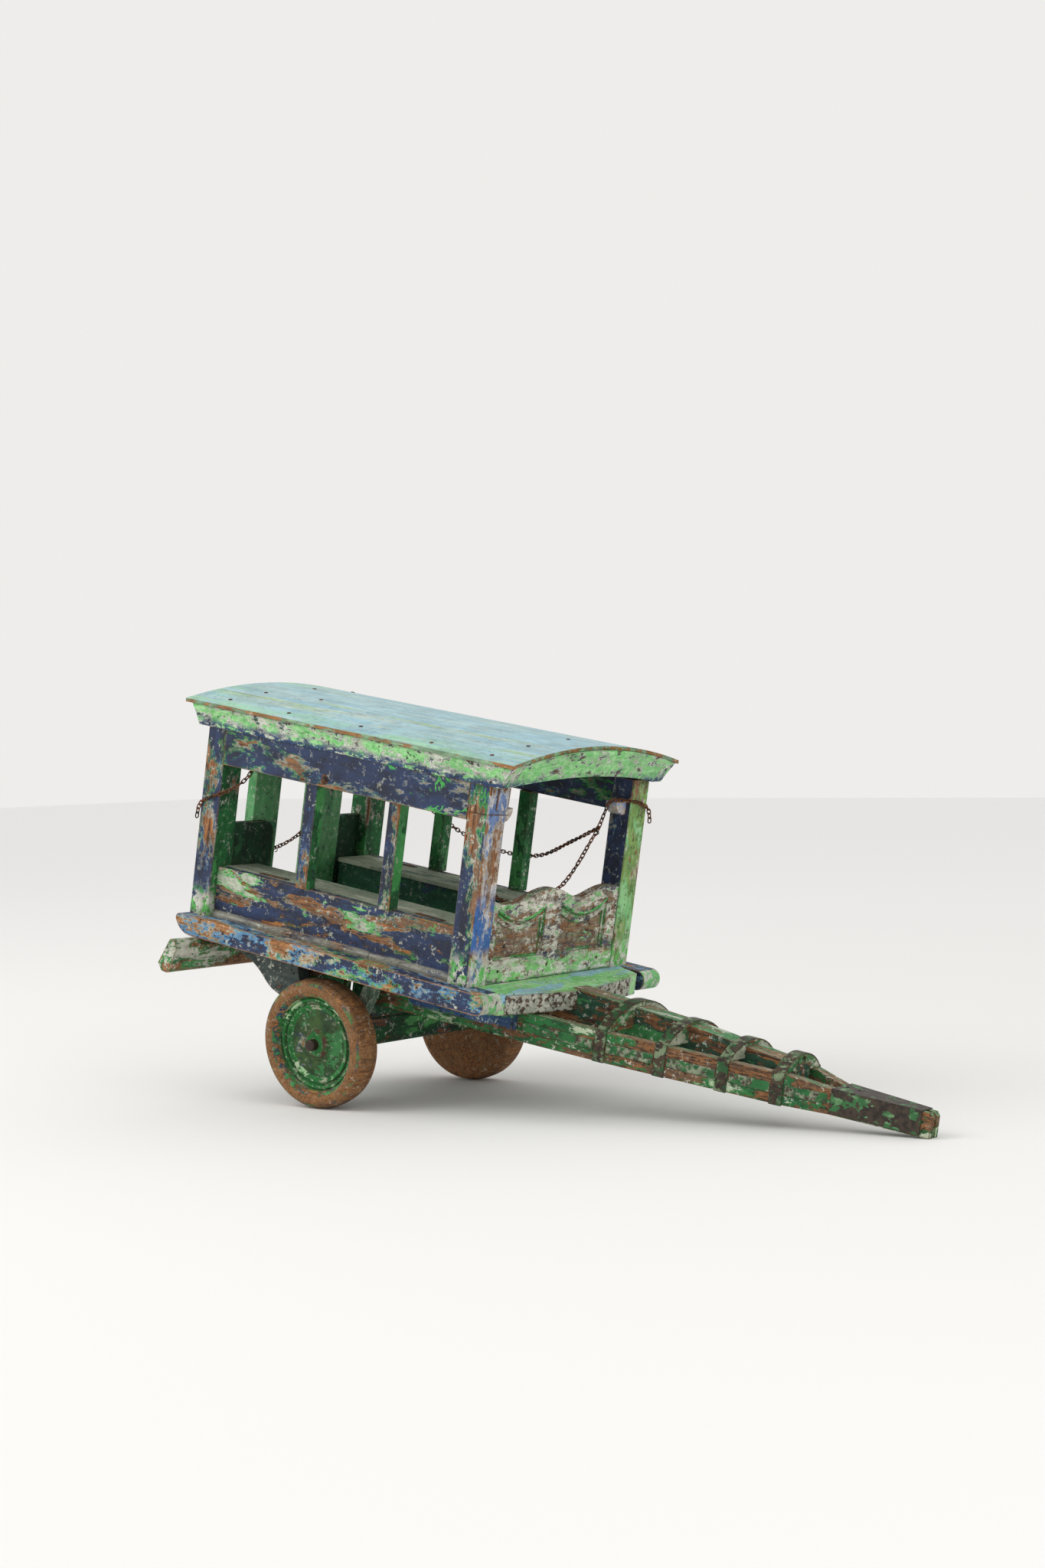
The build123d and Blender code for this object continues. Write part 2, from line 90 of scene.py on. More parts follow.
# %% [markdown]
# ## The camera
# The cart is seen from its right front, from the height of its roof, almost level, with a
# long lens from about three and a half metres. A longer lens than this would flatten the
# roof, and a shorter one would spread the near wheel. The sensor's 36 mm lie along the tall
# side of the picture. The tiny roll is the tilt of a hand-levelled tripod.

# %% Set up the camera
yaw, down, roll = radians(36.591), radians(1.065), radians(-1.114)
eye = (2.0517, -2.8727, 0.5072)
ahead = Vector((-sin(yaw) * cos(down), cos(yaw) * cos(down), -sin(down)))
level_right = Vector((cos(yaw), sin(yaw), 0.0))
level_up = level_right.cross(ahead)
right = level_right * cos(roll) + level_up * sin(roll)
up = level_up * cos(roll) - level_right * sin(roll)

camera_data = bpy.data.cameras.new("studio_camera")
camera_data.lens = 59.77
camera_data.sensor_width = 36.0
camera_data.clip_end = 60.0
camera = bpy.data.objects.new("studio_camera", camera_data)
bpy.context.scene.collection.objects.link(camera)
camera.matrix_world = Matrix.Translation(eye) @ Matrix(
    (right, up, -ahead)).transposed().to_4x4()
bpy.context.scene.camera = camera
print("camera looks along", [round(v, 3) for v in ahead])

# %% [markdown]
# ## Iron for chain and nails
# Small old ironwork is almost black where hands have rubbed it and brown where it has
# rusted. A finish is built from a few reusable steps: a patchy noise, a soft threshold, and
# a mix. They are gathered here in one small class, so that each finish below reads as a
# short recipe. Its coordinates are turned level, so that grain runs along a board and not
# along the floor.

# %% The finish maker
def tone(code):
    """A colour written as six hex digits, as the light that a shader counts in."""
    parts = [int(code[i:i + 2], 16) / 255 for i in (0, 2, 4)]
    return [c / 12.92 if c <= 0.04045 else ((c + 0.055) / 1.055) ** 2.4 for c in parts] + [1.0]


class Finish:
    """A finish under way: its material, its nodes and its level coordinates."""

    def __init__(self, name):
        self.material = bpy.data.materials.new(name)
        self.material.use_nodes = True
        self.tree = self.material.node_tree
        self.tree.nodes.clear()
        output = self.add("ShaderNodeOutputMaterial")
        self.shader = self.add("ShaderNodeBsdfPrincipled")
        self.join(self.shader.outputs[0], output.inputs[0])
        self.place = self.add("ShaderNodeTexCoord")
        self.level = self.add("ShaderNodeMapping")
        self.level.inputs["Rotation"].default_value = (0.0, -TIPPED, 0.0)
        home = Matrix.Rotation(-TIPPED, 3, "Y") @ at(0, 0, 0)
        self.level.inputs["Location"].default_value = -home
        self.join(self.place.outputs["Object"], self.level.inputs["Vector"])

    def add(self, kind, **settings):
        node = self.tree.nodes.new(kind)
        for key, value in settings.items():
            setattr(node, key, value)
        return node

    def join(self, source, target):
        self.tree.links.new(source, target)

    def put(self, socket, value):
        if isinstance(value, bpy.types.NodeSocket):
            self.join(value, socket)
        else:
            socket.default_value = value

    def sum(self, operation, a, b=0.0):
        node = self.add("ShaderNodeMath", operation=operation)
        self.put(node.inputs[0], a)
        self.put(node.inputs[1], b)
        return node.outputs[0]

    def cloud(self, scale, stretch=(1, 1, 1), seed=0.0, detail=6.0, rough=0.6, bend=0.0):
        """Patchy noise with its middle at one half, drawn out along the grain by stretch."""
        shift = self.add("ShaderNodeMapping")
        shift.inputs["Scale"].default_value = stretch
        shift.inputs["Location"].default_value = (seed * 1.7, seed * 0.9, seed * 2.3)
        self.join(self.level.outputs[0], shift.inputs["Vector"])
        node = self.add("ShaderNodeTexNoise")
        self.join(shift.outputs[0], node.inputs["Vector"])
        for key, value in (("Scale", scale), ("Detail", detail), ("Roughness", rough),
                           ("Distortion", bend)):
            node.inputs[key].default_value = value
        return node.outputs[0]

    def step(self, value, low, high, start=0.0, end=1.0):
        """A soft threshold: start below low, end above high."""
        node = self.add("ShaderNodeMapRange", interpolation_type="SMOOTHSTEP")
        self.put(node.inputs["Value"], value)
        node.inputs["From Min"].default_value = low
        node.inputs["From Max"].default_value = high
        node.inputs["To Min"].default_value = start
        node.inputs["To Max"].default_value = end
        return node.outputs[0]

    def blend(self, share, a, b, kind="MIX"):
        """Colour a with a share of colour b over it; a colour may be written as hex."""
        node = self.add("ShaderNodeMix", data_type="RGBA", blend_type=kind)
        self.put(node.inputs[0], share)
        self.put(node.inputs[6], tone(a) if isinstance(a, str) else a)
        self.put(node.inputs[7], tone(b) if isinstance(b, str) else b)
        return node.outputs[2]

    def facing(self, x, y, z, low=0.35, high=0.6):
        """How far a surface faces a level direction, from 0 to 1."""
        node = self.add("ShaderNodeVectorMath", operation="DOT_PRODUCT")
        self.join(self.place.outputs["Normal"], node.inputs[0])
        node.inputs[1].default_value = turn(x, y, z)
        return self.step(node.outputs["Value"], low, high)

    def edge(self, radius=0.003):
        """Edge wear: where a rounded edge would lean away from the flat face."""
        soft = self.add("ShaderNodeBevel", samples=6)
        soft.inputs["Radius"].default_value = radius
        flat = self.add("ShaderNodeNewGeometry")
        lean = self.add("ShaderNodeVectorMath", operation="DOT_PRODUCT")
        self.join(soft.outputs[0], lean.inputs[0])
        self.join(flat.outputs["Normal"], lean.inputs[1])
        return self.step(lean.outputs["Value"], 0.985, 0.80)

    def done(self, colour, roughness, height=None, deep=0.0006, metal=0.0, soft_edge=0.0012):
        """Plug everything into the shader."""
        self.put(self.shader.inputs["Base Color"], colour)
        self.put(self.shader.inputs["Roughness"], roughness)
        self.shader.inputs["Metallic"].default_value = metal
        if height is not None:
            bump = self.add("ShaderNodeBump")
            bump.inputs["Strength"].default_value = 0.8
            bump.inputs["Distance"].default_value = deep
            self.put(bump.inputs["Height"], height)
            if soft_edge:
                soft = self.add("ShaderNodeBevel", samples=4)
                soft.inputs["Radius"].default_value = soft_edge
                self.join(soft.outputs[0], bump.inputs["Normal"])
            self.join(bump.outputs[0], self.shader.inputs["Normal"])
        return self.material


def rusty_iron(name, dark, rust, amount=0.5, shine=0.45, metal=0.35):
    """Blackened iron with rust in patches and pits."""
    f = Finish(name)
    patch = f.step(f.cloud(90, seed=1.3, detail=8), amount + 0.06, amount - 0.06)
    pits = f.cloud(600, seed=2.1, detail=4)
    brown = f.blend(f.step(pits, 0.40, 0.72), rust, "8a5a36")
    colour = f.blend(patch, dark, brown)
    rough = f.step(patch, 0.0, 1.0, shine, 0.9)
    height = f.sum("ADD", f.sum("MULTIPLY", patch, 0.5), pits)
    return f.done(colour, rough, height, deep=0.0003, metal=metal, soft_edge=0.0)


chain_iron = rusty_iron("chain_iron", "20130c", "5a3018", 0.54, 0.8, 0.0)
print("made", chain_iron.name)

# %% [markdown]
# ## Four small chains
# Jack chain is bent from iron wire into oval links, each a quarter turn from the next. The
# chain is a cord first: a fixed length that sags between its hooks. Its line is a smooth
# curve drawn through control points, and the links are then walked along points read from
# that curve. Linking real rings, and not drawing a rope, is what makes it catch the light.

# %% Link a chain along its curve
ACROSS = 0.0066      # across a link
WIRE = 0.00175       # thickness of the wire
LINK = 0.0102        # one link, end to end
PLAY = 0.0002        # the gap between two linked wires
PITCH = LINK - 2 * WIRE - PLAY
LINK_STEPS, WIRE_SIDES = 20, 7


def chain_line(name, places):
    """Points read from the smooth curve that a chain follows."""
    curve = bpy.data.curves.new(name + "_line", "CURVE")
    curve.dimensions = "3D"
    curve.resolution_u = 24
    line = curve.splines.new("NURBS")
    line.points.add(len(places) - 1)
    for point, place in zip(line.points, places):
        point.co = (*at(*place), 1.0)
    line.order_u = 3
    line.use_endpoint_u = True
    holder = bpy.data.objects.new(name + "_line", curve)
    mesh = bpy.data.meshes.new_from_object(holder)
    points = [v.co.copy() for v in mesh.vertices]
    bpy.data.objects.remove(holder)
    bpy.data.meshes.remove(mesh)
    return points


def link_ring(shape, middle, along, side, length=LINK, width=ACROSS, wire=WIRE):
    """One oval link of round wire, added to the shape."""
    third = along.cross(side)
    reach, bow = (length - width) / 2, (width - wire) / 2
    rings = []
    for k in range(LINK_STEPS):
        a = tau * k / LINK_STEPS
        out = along * cos(a) + side * sin(a)
        half = 1 if cos(a) >= 0 else -1
        core = middle + side * (bow * sin(a)) + along * (bow * cos(a) + reach * half)
        rings.append([shape.verts.new(core + (out * cos(b) + third * sin(b)) * wire / 2)
                      for b in (tau * j / WIRE_SIDES for j in range(WIRE_SIDES))])
    for k in range(LINK_STEPS):
        for j in range(WIRE_SIDES):
            shape.faces.new((rings[k][j], rings[k][(j + 1) % WIRE_SIDES],
                             rings[(k + 1) % LINK_STEPS][(j + 1) % WIRE_SIDES],
                             rings[(k + 1) % LINK_STEPS][j]))


def chain(name, places):
    """A whole chain: its links stand a quarter turn apart along the line."""
    points = chain_line(name, places)
    reach = [0.0]
    for a, b in zip(points, points[1:]):
        reach.append(reach[-1] + (b - a).length)
    total = reach[-1]
    count = max(3, round((total - LINK) / PITCH) + 1)
    shape = bmesh.new()
    side = Vector((0.3, 0.2, 1.0))
    for k in range(count):
        s = LINK / 2 + (total - LINK) * k / (count - 1)
        i = max(j for j in range(len(reach) - 1) if reach[j] <= s)
        along = (points[i + 1] - points[i]).normalized()
        middle = points[i].lerp(points[i + 1], (s - reach[i]) / (reach[i + 1] - reach[i]))
        side = (side - along * side.dot(along)).normalized()
        wobble = Matrix.Rotation((pi / 2 if k % 2 else 0.0) + 0.22 * sin(k * 2.3), 3, along)
        link_ring(shape, middle, along, wobble @ side)
    mesh = bpy.data.meshes.new(name + "_links")
    shape.to_mesh(mesh)
    shape.free()
    for face in mesh.polygons:
        face.use_smooth = True
    piece = bpy.data.objects.new(name + "_links", mesh)
    bpy.context.scene.collection.objects.link(piece)
    mesh.materials.append(chain_iron)
    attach(piece, "cart")
    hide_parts(name)
    print(name, "is", round(total * 1000), "mm long in", count, "links")
    return piece


# %% [markdown]
# ## Where the chains hang
# One chain is thrown over the peg on the far front post and drops inside the window opening
# to the near post. One hangs outside the far windows. A short end is wound round the near
# rear post, and one closes the rear doorway. The places are the same as in the frame.

# %% Hang the chains
chain("chain_front", [(252.4, 191.5, 338), (252.0, 190.0, 357), (251.2, 170, 367),
                      (251.0, 145, 371.8), (244, 129, 371.9), (231, 117.2, 371.2),
                      (228, 112, 352), (226, 104, 328), (225, 90, 311), (224, 76, 290),
                      (223, 58, 268), (222, 38, 250), (221.5, 5, 238), (221.5, -35, 232),
                      (221.5, -75, 234), (221.5, -110, 243), (223, -141, 262)])
chain("chain_side", [(-236, 188.0, 352), (-190, 190, 318), (-140, 191.5, 289),
                     (-90, 192, 268), (-45, 192, 256), (0, 191.5, 250.5), (45, 190, 252),
                     (80, 184, 260), (110, 172, 274), (145, 152, 292), (185, 131, 311),
                     (222, 112.5, 331)])
chain("chain_rear", [(-260.0, -187.5, 268), (-259.6, -188.4, 288), (-246, -188.6, 299),
                     (-222, -188.0, 309), (-205, -178, 320), (-194, -166.5, 334),
                     (-187, -161.5, 350), (-184, -162.6, 366)])
chain("chain_door", [(-250, -33.2, 218.5), (-250, -17, 221.5), (-250, 0, 227),
                     (-250, 18, 234.5), (-250, 33.0, 243)])

# %% [markdown]
# ## A plain studio
# The floor is one pale sheet, painted a little lighter with distance from the cart as
# painted light, so that its far part meets the air without a step. A big soft light stands
# high on the left front, like a studio window, and a weaker one fills from the right, so
# that the wheels cast a soft shadow.

# %% Floor, light and air
floor_mesh = bpy.data.meshes.new("studio_floor")
floor_mesh.from_pydata([(-14, -14, 0), (14, -14, 0), (14, 14, 0), (-14, 14, 0)], [],
                       [(0, 1, 2, 3)])
studio_floor = bpy.data.objects.new("studio_floor", floor_mesh)
bpy.context.scene.collection.objects.link(studio_floor)
paper = Finish("studio_paper")
away = paper.add("ShaderNodeVectorMath", operation="LENGTH")
paper.join(paper.place.outputs["Object"], away.inputs[0])
# Painted light: the paper grows lighter with distance from the cart, standing in for even light on the
# far floor.
paper_with_painted_light = paper.blend(paper.step(away.outputs["Value"], 0.6, 5.0), "efefee", "f5f5f5")
floor_mesh.materials.append(paper.done(paper_with_painted_light, 0.9))


def soft_light(name, place, target, size, power, colour=(1.0, 1.0, 1.0)):
    """A square soft box, aimed at a target."""
    data = bpy.data.lights.new(name, "AREA")
    data.shape = "SQUARE"
    data.size = size
    data.energy = power
    data.color = colour
    lamp = bpy.data.objects.new(name, data)
    bpy.context.scene.collection.objects.link(lamp)
    aim = (Vector(target) - Vector(place)).normalized()
    lamp.matrix_world = Matrix.Translation(place) @ aim.to_track_quat("-Z", "Y").to_matrix().to_4x4()
    return lamp


soft_light("key_light", (-2.2, -2.3, 3.0), (0, 0, 0.2), 2.6, 54, (1.0, 0.985, 0.96))
soft_light("fill_light", (3.4, -1.4, 2.2), (0, 0, 0.25), 2.4, 22, (0.97, 0.985, 1.0))
air = bpy.data.worlds.new("studio_air")
bpy.context.scene.world = air
bpy.context.scene.view_settings.view_transform = "Standard"
air.use_nodes = True
air.node_tree.nodes["Background"].inputs["Color"].default_value = (1.0, 0.985, 0.965, 1.0)
air.node_tree.nodes["Background"].inputs["Strength"].default_value = 0.86

# %% [markdown]
# ## Flaking paint
# Old paint comes off in islands, and along an island's rim each older coat shows as a thin
# band: navy on top, then light blue, green, white ground and last the brown wood. One noise
# field drawn out along the grain serves all the coats. Each coat starts at its own height
# in that field, and a second noise lets the bands grow wide or vanish. Worn edges simply
# lower the field. Separate noises for each coat would not nest like this.

# %% Coats of paint over wood
def wood(f, grain, dark="4b2f1d", light="a86a3a", grey="7d6b5a", seed=0.0, greyed=0.45):
    """Bare old wood: fine grain along the board, brown where rubbed, grey where dry."""
    fine = {"x": (0.05, 1, 1), "y": (1, 0.05, 1), "z": (1, 1, 0.05)}[grain]
    lines = f.cloud(420, fine, seed + 0.4, detail=4, rough=0.7)
    broad = f.cloud(45, [s * 1.6 for s in fine], seed + 0.8, detail=5)
    colour = f.blend(f.step(lines, 0.36, 0.66), dark, light)
    colour = f.blend(f.sum("MULTIPLY", f.step(broad, 0.42, 0.62), greyed), colour, grey)
    return colour, lines


def flaked(f, coats, grain="x", patch=26.0, draw=0.38, seed=0.0, edge=None, wear=0.16,
           timber=None, low=None):
    """Coats nested in one flaking field. A coat is (start, colour, second colour, wander)."""
    drawn = {"x": (draw, 1, 1), "y": (1, draw, 1), "z": (1, 1, draw)}[grain]
    field = f.cloud(patch, drawn, seed, detail=12, rough=0.72, bend=0.15)
    crumbs = f.cloud(patch * 7.0, drawn, seed + 2.2, detail=6, rough=0.75)
    field = f.sum("ADD", field, f.sum("MULTIPLY", f.sum("SUBTRACT", crumbs, 0.5), 0.22))
    if edge is not None:
        field = f.sum("SUBTRACT", field, f.sum("MULTIPLY", edge, wear))
    if low is not None:
        field = f.sum("SUBTRACT", field, low)
    colour, lines = wood(f, grain, seed=seed, **(timber or {}))
    height = f.sum("MULTIPLY", lines, 0.35)
    mottle = f.cloud(patch * 2.3, drawn, seed + 5.1, detail=7, rough=0.6)
    cover = 0.0
    for k, (start, first, second, wander) in enumerate(coats):
        drift = f.cloud(patch * 0.55, drawn, seed + 11.3 + 3.7 * k, detail=5, rough=0.6, bend=0.4)
        here = f.sum("ADD", field, f.sum("MULTIPLY", f.sum("SUBTRACT", drift, 0.5), wander))
        cover = f.step(here, start - 0.0035, start + 0.0035)
        tint = f.blend(f.step(mottle, 0.42, 0.60), first, second)
        colour = f.blend(cover, colour, tint)
        height = f.sum("ADD", height, f.sum("MULTIPLY", cover, 0.45))
    return colour, height, cover


def grime_and_corner_shade(f, colour, seed=0.0, grime_and_shade_tint="3a3226", amount=0.75):
    """Painted shade and dirt: ambient occlusion darkens corners within long soft stains, as strongly as
    amount says, and dust lies over all.
    """
    # Painted shade: ambient occlusion finds corners and recesses, and the colour darkens there towards
    # the dark tint.
    corner = f.add("ShaderNodeAmbientOcclusion", samples=6)
    corner.inputs["Distance"].default_value = 0.022
    dark = f.step(corner.outputs["AO"], 0.78, 0.25)
    stain = f.step(f.cloud(17, seed=seed + 7.7, detail=6), 0.38, 0.66)
    share = f.sum("MULTIPLY", f.sum("MULTIPLY", dark, stain), amount)
    colour = f.blend(share, colour, grime_and_shade_tint)
    dust = f.step(f.cloud(55, (0.5, 0.5, 0.5), seed + 4.1, detail=10, rough=0.75), 0.36, 0.66)
    return f.blend(f.sum("MULTIPLY", dust, 0.34), colour, f.blend(1.0, colour, "8f8a80", "MULTIPLY"))


def splashes(f, colour, height, tint, seed, scale=16.0, thin=0.010, share=0.56, draw=(0.5, 1, 1)):
    """Thin wandering runs of a brighter coat, only here and there."""
    run = f.cloud(scale, draw, seed, detail=5, rough=0.62, bend=1.4)
    line = f.step(f.sum("ABSOLUTE", f.sum("SUBTRACT", run, 0.5)), thin * 1.5, thin * 0.8)
    spot = f.step(f.cloud(scale * 0.5, draw, seed + 3.0, detail=3), share - 0.01, share + 0.01)
    both = f.sum("MULTIPLY", line, spot)
    return f.blend(both, colour, tint), f.sum("ADD", height, f.sum("MULTIPLY", both, 0.6))


def speckled(f, colour, height, seed, pale="d9dccd", dark="1c140e", much=1.0):
    """Pin-prick chips: pale ones where the ground shows, dark ones where it is gone."""
    fine = f.cloud(230, (0.6, 0.6, 0.6), seed + 1.6, detail=7, rough=0.72)
    where = f.step(f.cloud(24, seed=seed + 6.6, detail=5), 0.38, 0.60)
    light = f.sum("MULTIPLY", f.step(fine, 0.578, 0.592), where)
    pits = f.sum("MULTIPLY", f.step(fine, 0.420, 0.405), f.step(where, 0.9, 0.1, 0.35, 1.0))
    colour = f.blend(f.sum("MULTIPLY", light, 0.92 * much), colour, pale)
    colour = f.blend(f.sum("MULTIPLY", pits, 0.90 * much), colour, dark)
    return colour, f.sum("SUBTRACT", height, f.sum("MULTIPLY", f.sum("ADD", light, pits), 0.4))


def paint_done(f, stack, seed=0.0, rough=(0.86, 0.55), deep=0.0006, amount=0.85, chips=1.0,
               pale="d9dccd", dark="1c140e"):
    """Finish a flaked stack: chips, dirt and painted corner shade over it, paint smoother than bare wood.
    """
    colour, height, cover = stack
    if chips:
        colour, height = speckled(f, colour, height, seed, pale, dark, chips)
    # Painted shade: the corners are darkened here by ambient occlusion, with dirt and dust; amount sets
    # how strongly.
    return f.done(grime_and_corner_shade(f, colour, seed, amount=amount),
                  f.step(cover, 0.0, 1.0, rough[0], rough[1]), height, deep)


print("paint helpers ready")

# %% Give a body its coat
def coat_on(node, material):
    """Give a body from the frame its finish."""
    piece = bpy.data.objects[node]
    piece.data.materials.clear()
    piece.data.materials.append(material)


def two_sides(f, share, a, b):
    """One stack of coats turning into another where share rises to 1."""
    return (f.blend(share, a[0], b[0]),
            f.sum("ADD", f.sum("MULTIPLY", a[1], f.sum("SUBTRACT", 1.0, share)),
                  f.sum("MULTIPLY", b[1], share)),
            f.sum("ADD", f.sum("MULTIPLY", a[2], f.sum("SUBTRACT", 1.0, share)),
                  f.sum("MULTIPLY", b[2], share)))


def along(f, axis):
    """The level coordinate along one axis, in metres from the axle."""
    split = f.add("ShaderNodeSeparateXYZ")
    f.join(f.level.outputs[0], split.inputs[0])
    return split.outputs["xyz".index(axis)]


ORANGE = dict(dark="432b1c", light="b87a45", grey="7c6a58", greyed=0.6)
NAVY = [(0.400, "a8a698", "7f8278", 0.12), (0.425, "3f9a4a", "2f7040", 0.16),
        (0.440, "4a6c98", "32527f", 0.12), (0.450, "1b3057", "0f1a33", 0.10)]
GREEN = [(0.36, "a9b09c", "7f8c7a", 0.12), (0.39, "1c4238", "163a3a", 0.12),
         (0.415, "1b6a33", "0d4a22", 0.12), (0.545, "3f9a4c", "2c8440", 0.16)]
print("palette ready")

# %% [markdown]
# ## The roof
# The roof board is thin and crowned. Sun has bleached its blue to a pale sky colour, with
# long streaks where white ground and green come through, and its sawn edge has lost its
# paint and shows orange wood. The coats are drawn far out along the board, and the edge
# faces are told apart by the direction that they face.

# %% Paint the roof
def sky_roof():
    f = Finish("sky_blue_roof")
    edge = f.edge(0.0025)
    top = flaked(f, [(0.335, "9fc79a", "b5d3ab", 0.14), (0.385, "c9d9cf", "b4cfcf", 0.16),
                     (0.425, "93c1d0", "adcfd3", 0.22)], "x", 30, 0.10, 3.0, edge, 0.10,
                 dict(dark="6d5a45", light="a08768", grey="8f8a7c"))
    rim = f.step(f.sum("ABSOLUTE", along(f, "y")), 0.135, 0.188)
    rear = f.step(along(f, "x"), -0.21, -0.29)
    green = f.sum("MAXIMUM", rim, rear)
    patch = f.step(f.cloud(34, (0.25, 1, 1), 8.4, detail=6), 0.40, 0.62)
    colour = f.blend(f.sum("MULTIPLY", green, patch), top[0], "9bd3ae")
    streak = f.step(f.cloud(260, (0.02, 1, 1), 9.9, detail=7, rough=0.7), 0.53, 0.68)
    colour = f.blend(f.sum("MULTIPLY", streak, 0.62), colour, "77776a")
    bare = flaked(f, [(0.50, "6f8f70", "8fb48c", 0.10)], "x", 40, 0.25, 6.1, None, 0.0,
                  dict(dark="6a4427", light="c08a50", grey="94714d"))
    sawn = f.sum("MAXIMUM", f.facing(0, -1, 0), f.sum("MAXIMUM", f.facing(0, 1, 0),
                 f.sum("MAXIMUM", f.facing(1, 0, 0), f.facing(-1, 0, 0))))
    stack = two_sides(f, sawn, (colour, top[1], top[2]), bare)
    below = flaked(f, [(0.42, "24344f", "1d2a3d", 0.1)], "x", 26, 0.3, 2.2)
    stack = two_sides(f, f.facing(0, 0, -1), stack, below)
    return paint_done(f, stack, 1.0, (0.85, 0.50), 0.0004, chips=0.35)


coat_on("roof_board", sky_roof())
print("roof painted")

# %% [markdown]
# ## Cornice and arched boards
# Under the roof runs a small moulding of pale green over white, rubbed and chipped to a
# sprinkle of navy. The front board is arched. The chips are small here, so the patch noise
# is finer than on the panels.

# %% Paint the cornice and the arches
def mint_cornice(name, seed, grain, chips=1.0, white=0.505):
    f = Finish(name)
    stack = flaked(f, [(0.375, "2a4468", "2a5a46", 0.16), (0.418, "dcdfd2", "b9bfae", 0.26),
                       (white, "77cc74", "a6e09c", 0.34)], grain, 80, 0.5, seed,
                   f.edge(0.002), 0.08)
    low = f.step(along(f, "z"), 0.418, 0.403)
    sprinkle = f.step(f.cloud(150, (0.4, 1, 1), seed + 2, detail=9, rough=0.75), 0.45, 0.49)
    colour = f.blend(f.sum("MULTIPLY", low, sprinkle), stack[0], "26426e")
    return paint_done(f, (colour, stack[1], stack[2]), seed, chips=chips)


coat_on("cornice_right", mint_cornice("mint_cornice", 12.0, "x"))
coat_on("cornice_left", bpy.data.materials["mint_cornice"])
coat_on("arch_front", mint_cornice("mint_arch", 15.0, "y", 0.45, 0.455))
coat_on("arch_rear", bpy.data.materials["mint_arch"])
print("cornice and arches painted")

# %% [markdown]
# ## Navy boards: headers, posts, bars, low sides and sills
# Outside, the cab is navy. The headers keep most of it, with thin runs of bright green. The
# posts are worn to orange wood on the street side and green inside. The low sides have lost
# about half their paint, and the sills carry patches of light blue and a bright bare edge.

# %% Paint the headers
def navy_header():
    f = Finish("navy_header")
    low = f.step(along(f, "z"), 0.372, 0.352, 0.0, 0.050)
    stack = flaked(f, NAVY, "x", 24, 0.34, 20.0, f.edge(0.003), 0.12, ORANGE, low)
    colour, height = splashes(f, stack[0], stack[1], "46b552", 23.5, 15.0, 0.015, 0.530)
    return paint_done(f, (colour, height, stack[2]), 2.0, chips=0.45)


for side in ("left", "right"):
    coat_on("header_" + side, bpy.data.materials.get("navy_header") or navy_header())
print("headers painted")


# %% Paint the posts and the window bars
def post_paint(name, seed, front=GREEN, wear=0.0, street_side=-1, belt_of_blue=False):
    """Navy on the street side, green inside, and its own coats on the front face."""
    f = Finish(name)
    edge = f.edge(0.003)
    thin = [(s + wear, a, b, w) for s, a, b, w in NAVY]
    street = flaked(f, thin, "z", 24, 0.42, seed, edge, 0.20, ORANGE)
    inside = flaked(f, GREEN, "z", 22, 0.42, seed + 1.9, edge, 0.16, ORANGE)
    outward = f.facing(0, street_side or -1, 0)
    if not street_side:
        outward = f.sum("MAXIMUM", outward, f.facing(0, 1, 0))
    stack = two_sides(f, outward, inside, street)
    if front is not GREEN:
        face = flaked(f, front, "z", 26, 0.4, seed + 4.4, edge, 0.18, ORANGE)
        stack = two_sides(f, f.facing(1, 0, 0), stack, face)
    colour = stack[0]
    if belt_of_blue:
        belt = f.sum("MULTIPLY", f.step(along(f, "z"), 0.172, 0.188), f.step(along(f, "z"), 0.262, 0.232))
        left_on = f.step(f.cloud(42, (1, 1, 0.5), seed + 8, detail=9, rough=0.7), 0.44, 0.47)
        blue = f.sum("MULTIPLY", belt, left_on)
        colour = f.blend(f.sum("MULTIPLY", blue, f.facing(1, 0, 0)), colour, "3a6cb0")
    foot = f.step(along(f, "z"), 0.182, 0.150)
    patch = f.step(f.cloud(60, (1, 1, 0.6), seed + 6, detail=10, rough=0.7), 0.45, 0.47)
    fresh = f.blend(f.step(f.cloud(80, seed=seed + 9, detail=8), 0.47, 0.5), "6ac962", "dcdfd0")
    colour = f.blend(f.sum("MULTIPLY", foot, patch), colour, fresh)
    return paint_done(f, (colour, stack[1], stack[2]), seed, chips=0.7)


pale_blue = [(0.455, "bca793", "8f7560", 0.18), (0.490, "d3d4d6", "a9adb8", 0.22),
             (0.548, "6883b4", "3f5f9b", 0.26)]
yellow_green = [(0.44, "b7bb9f", "9aa182", 0.16), (0.48, "86a85c", "6a9450", 0.22),
                (0.555, "7cc47c", "93cf8e", 0.16)]
coat_on("post_front_right", post_paint("post_near_front", 31.0, pale_blue, 0.075, -1, True))
coat_on("post_front_left", post_paint("post_far_front", 34.0, yellow_green, street_side=0))
coat_on("post_rear_right", post_paint("post_near_rear", 37.0, wear=0.045))
coat_on("post_rear_left", post_paint("post_far_rear", 40.0, street_side=1))
for number, node in enumerate(("window_bar_right_1", "window_bar_right_2",
                               "window_bar_left_1", "window_bar_left_2")):
    coat_on(node, post_paint("bar_paint_" + str(number), 43.0 + 3 * number, wear=0.02,
                               street_side=1 if "left" in node else -1))
print("posts and bars painted")


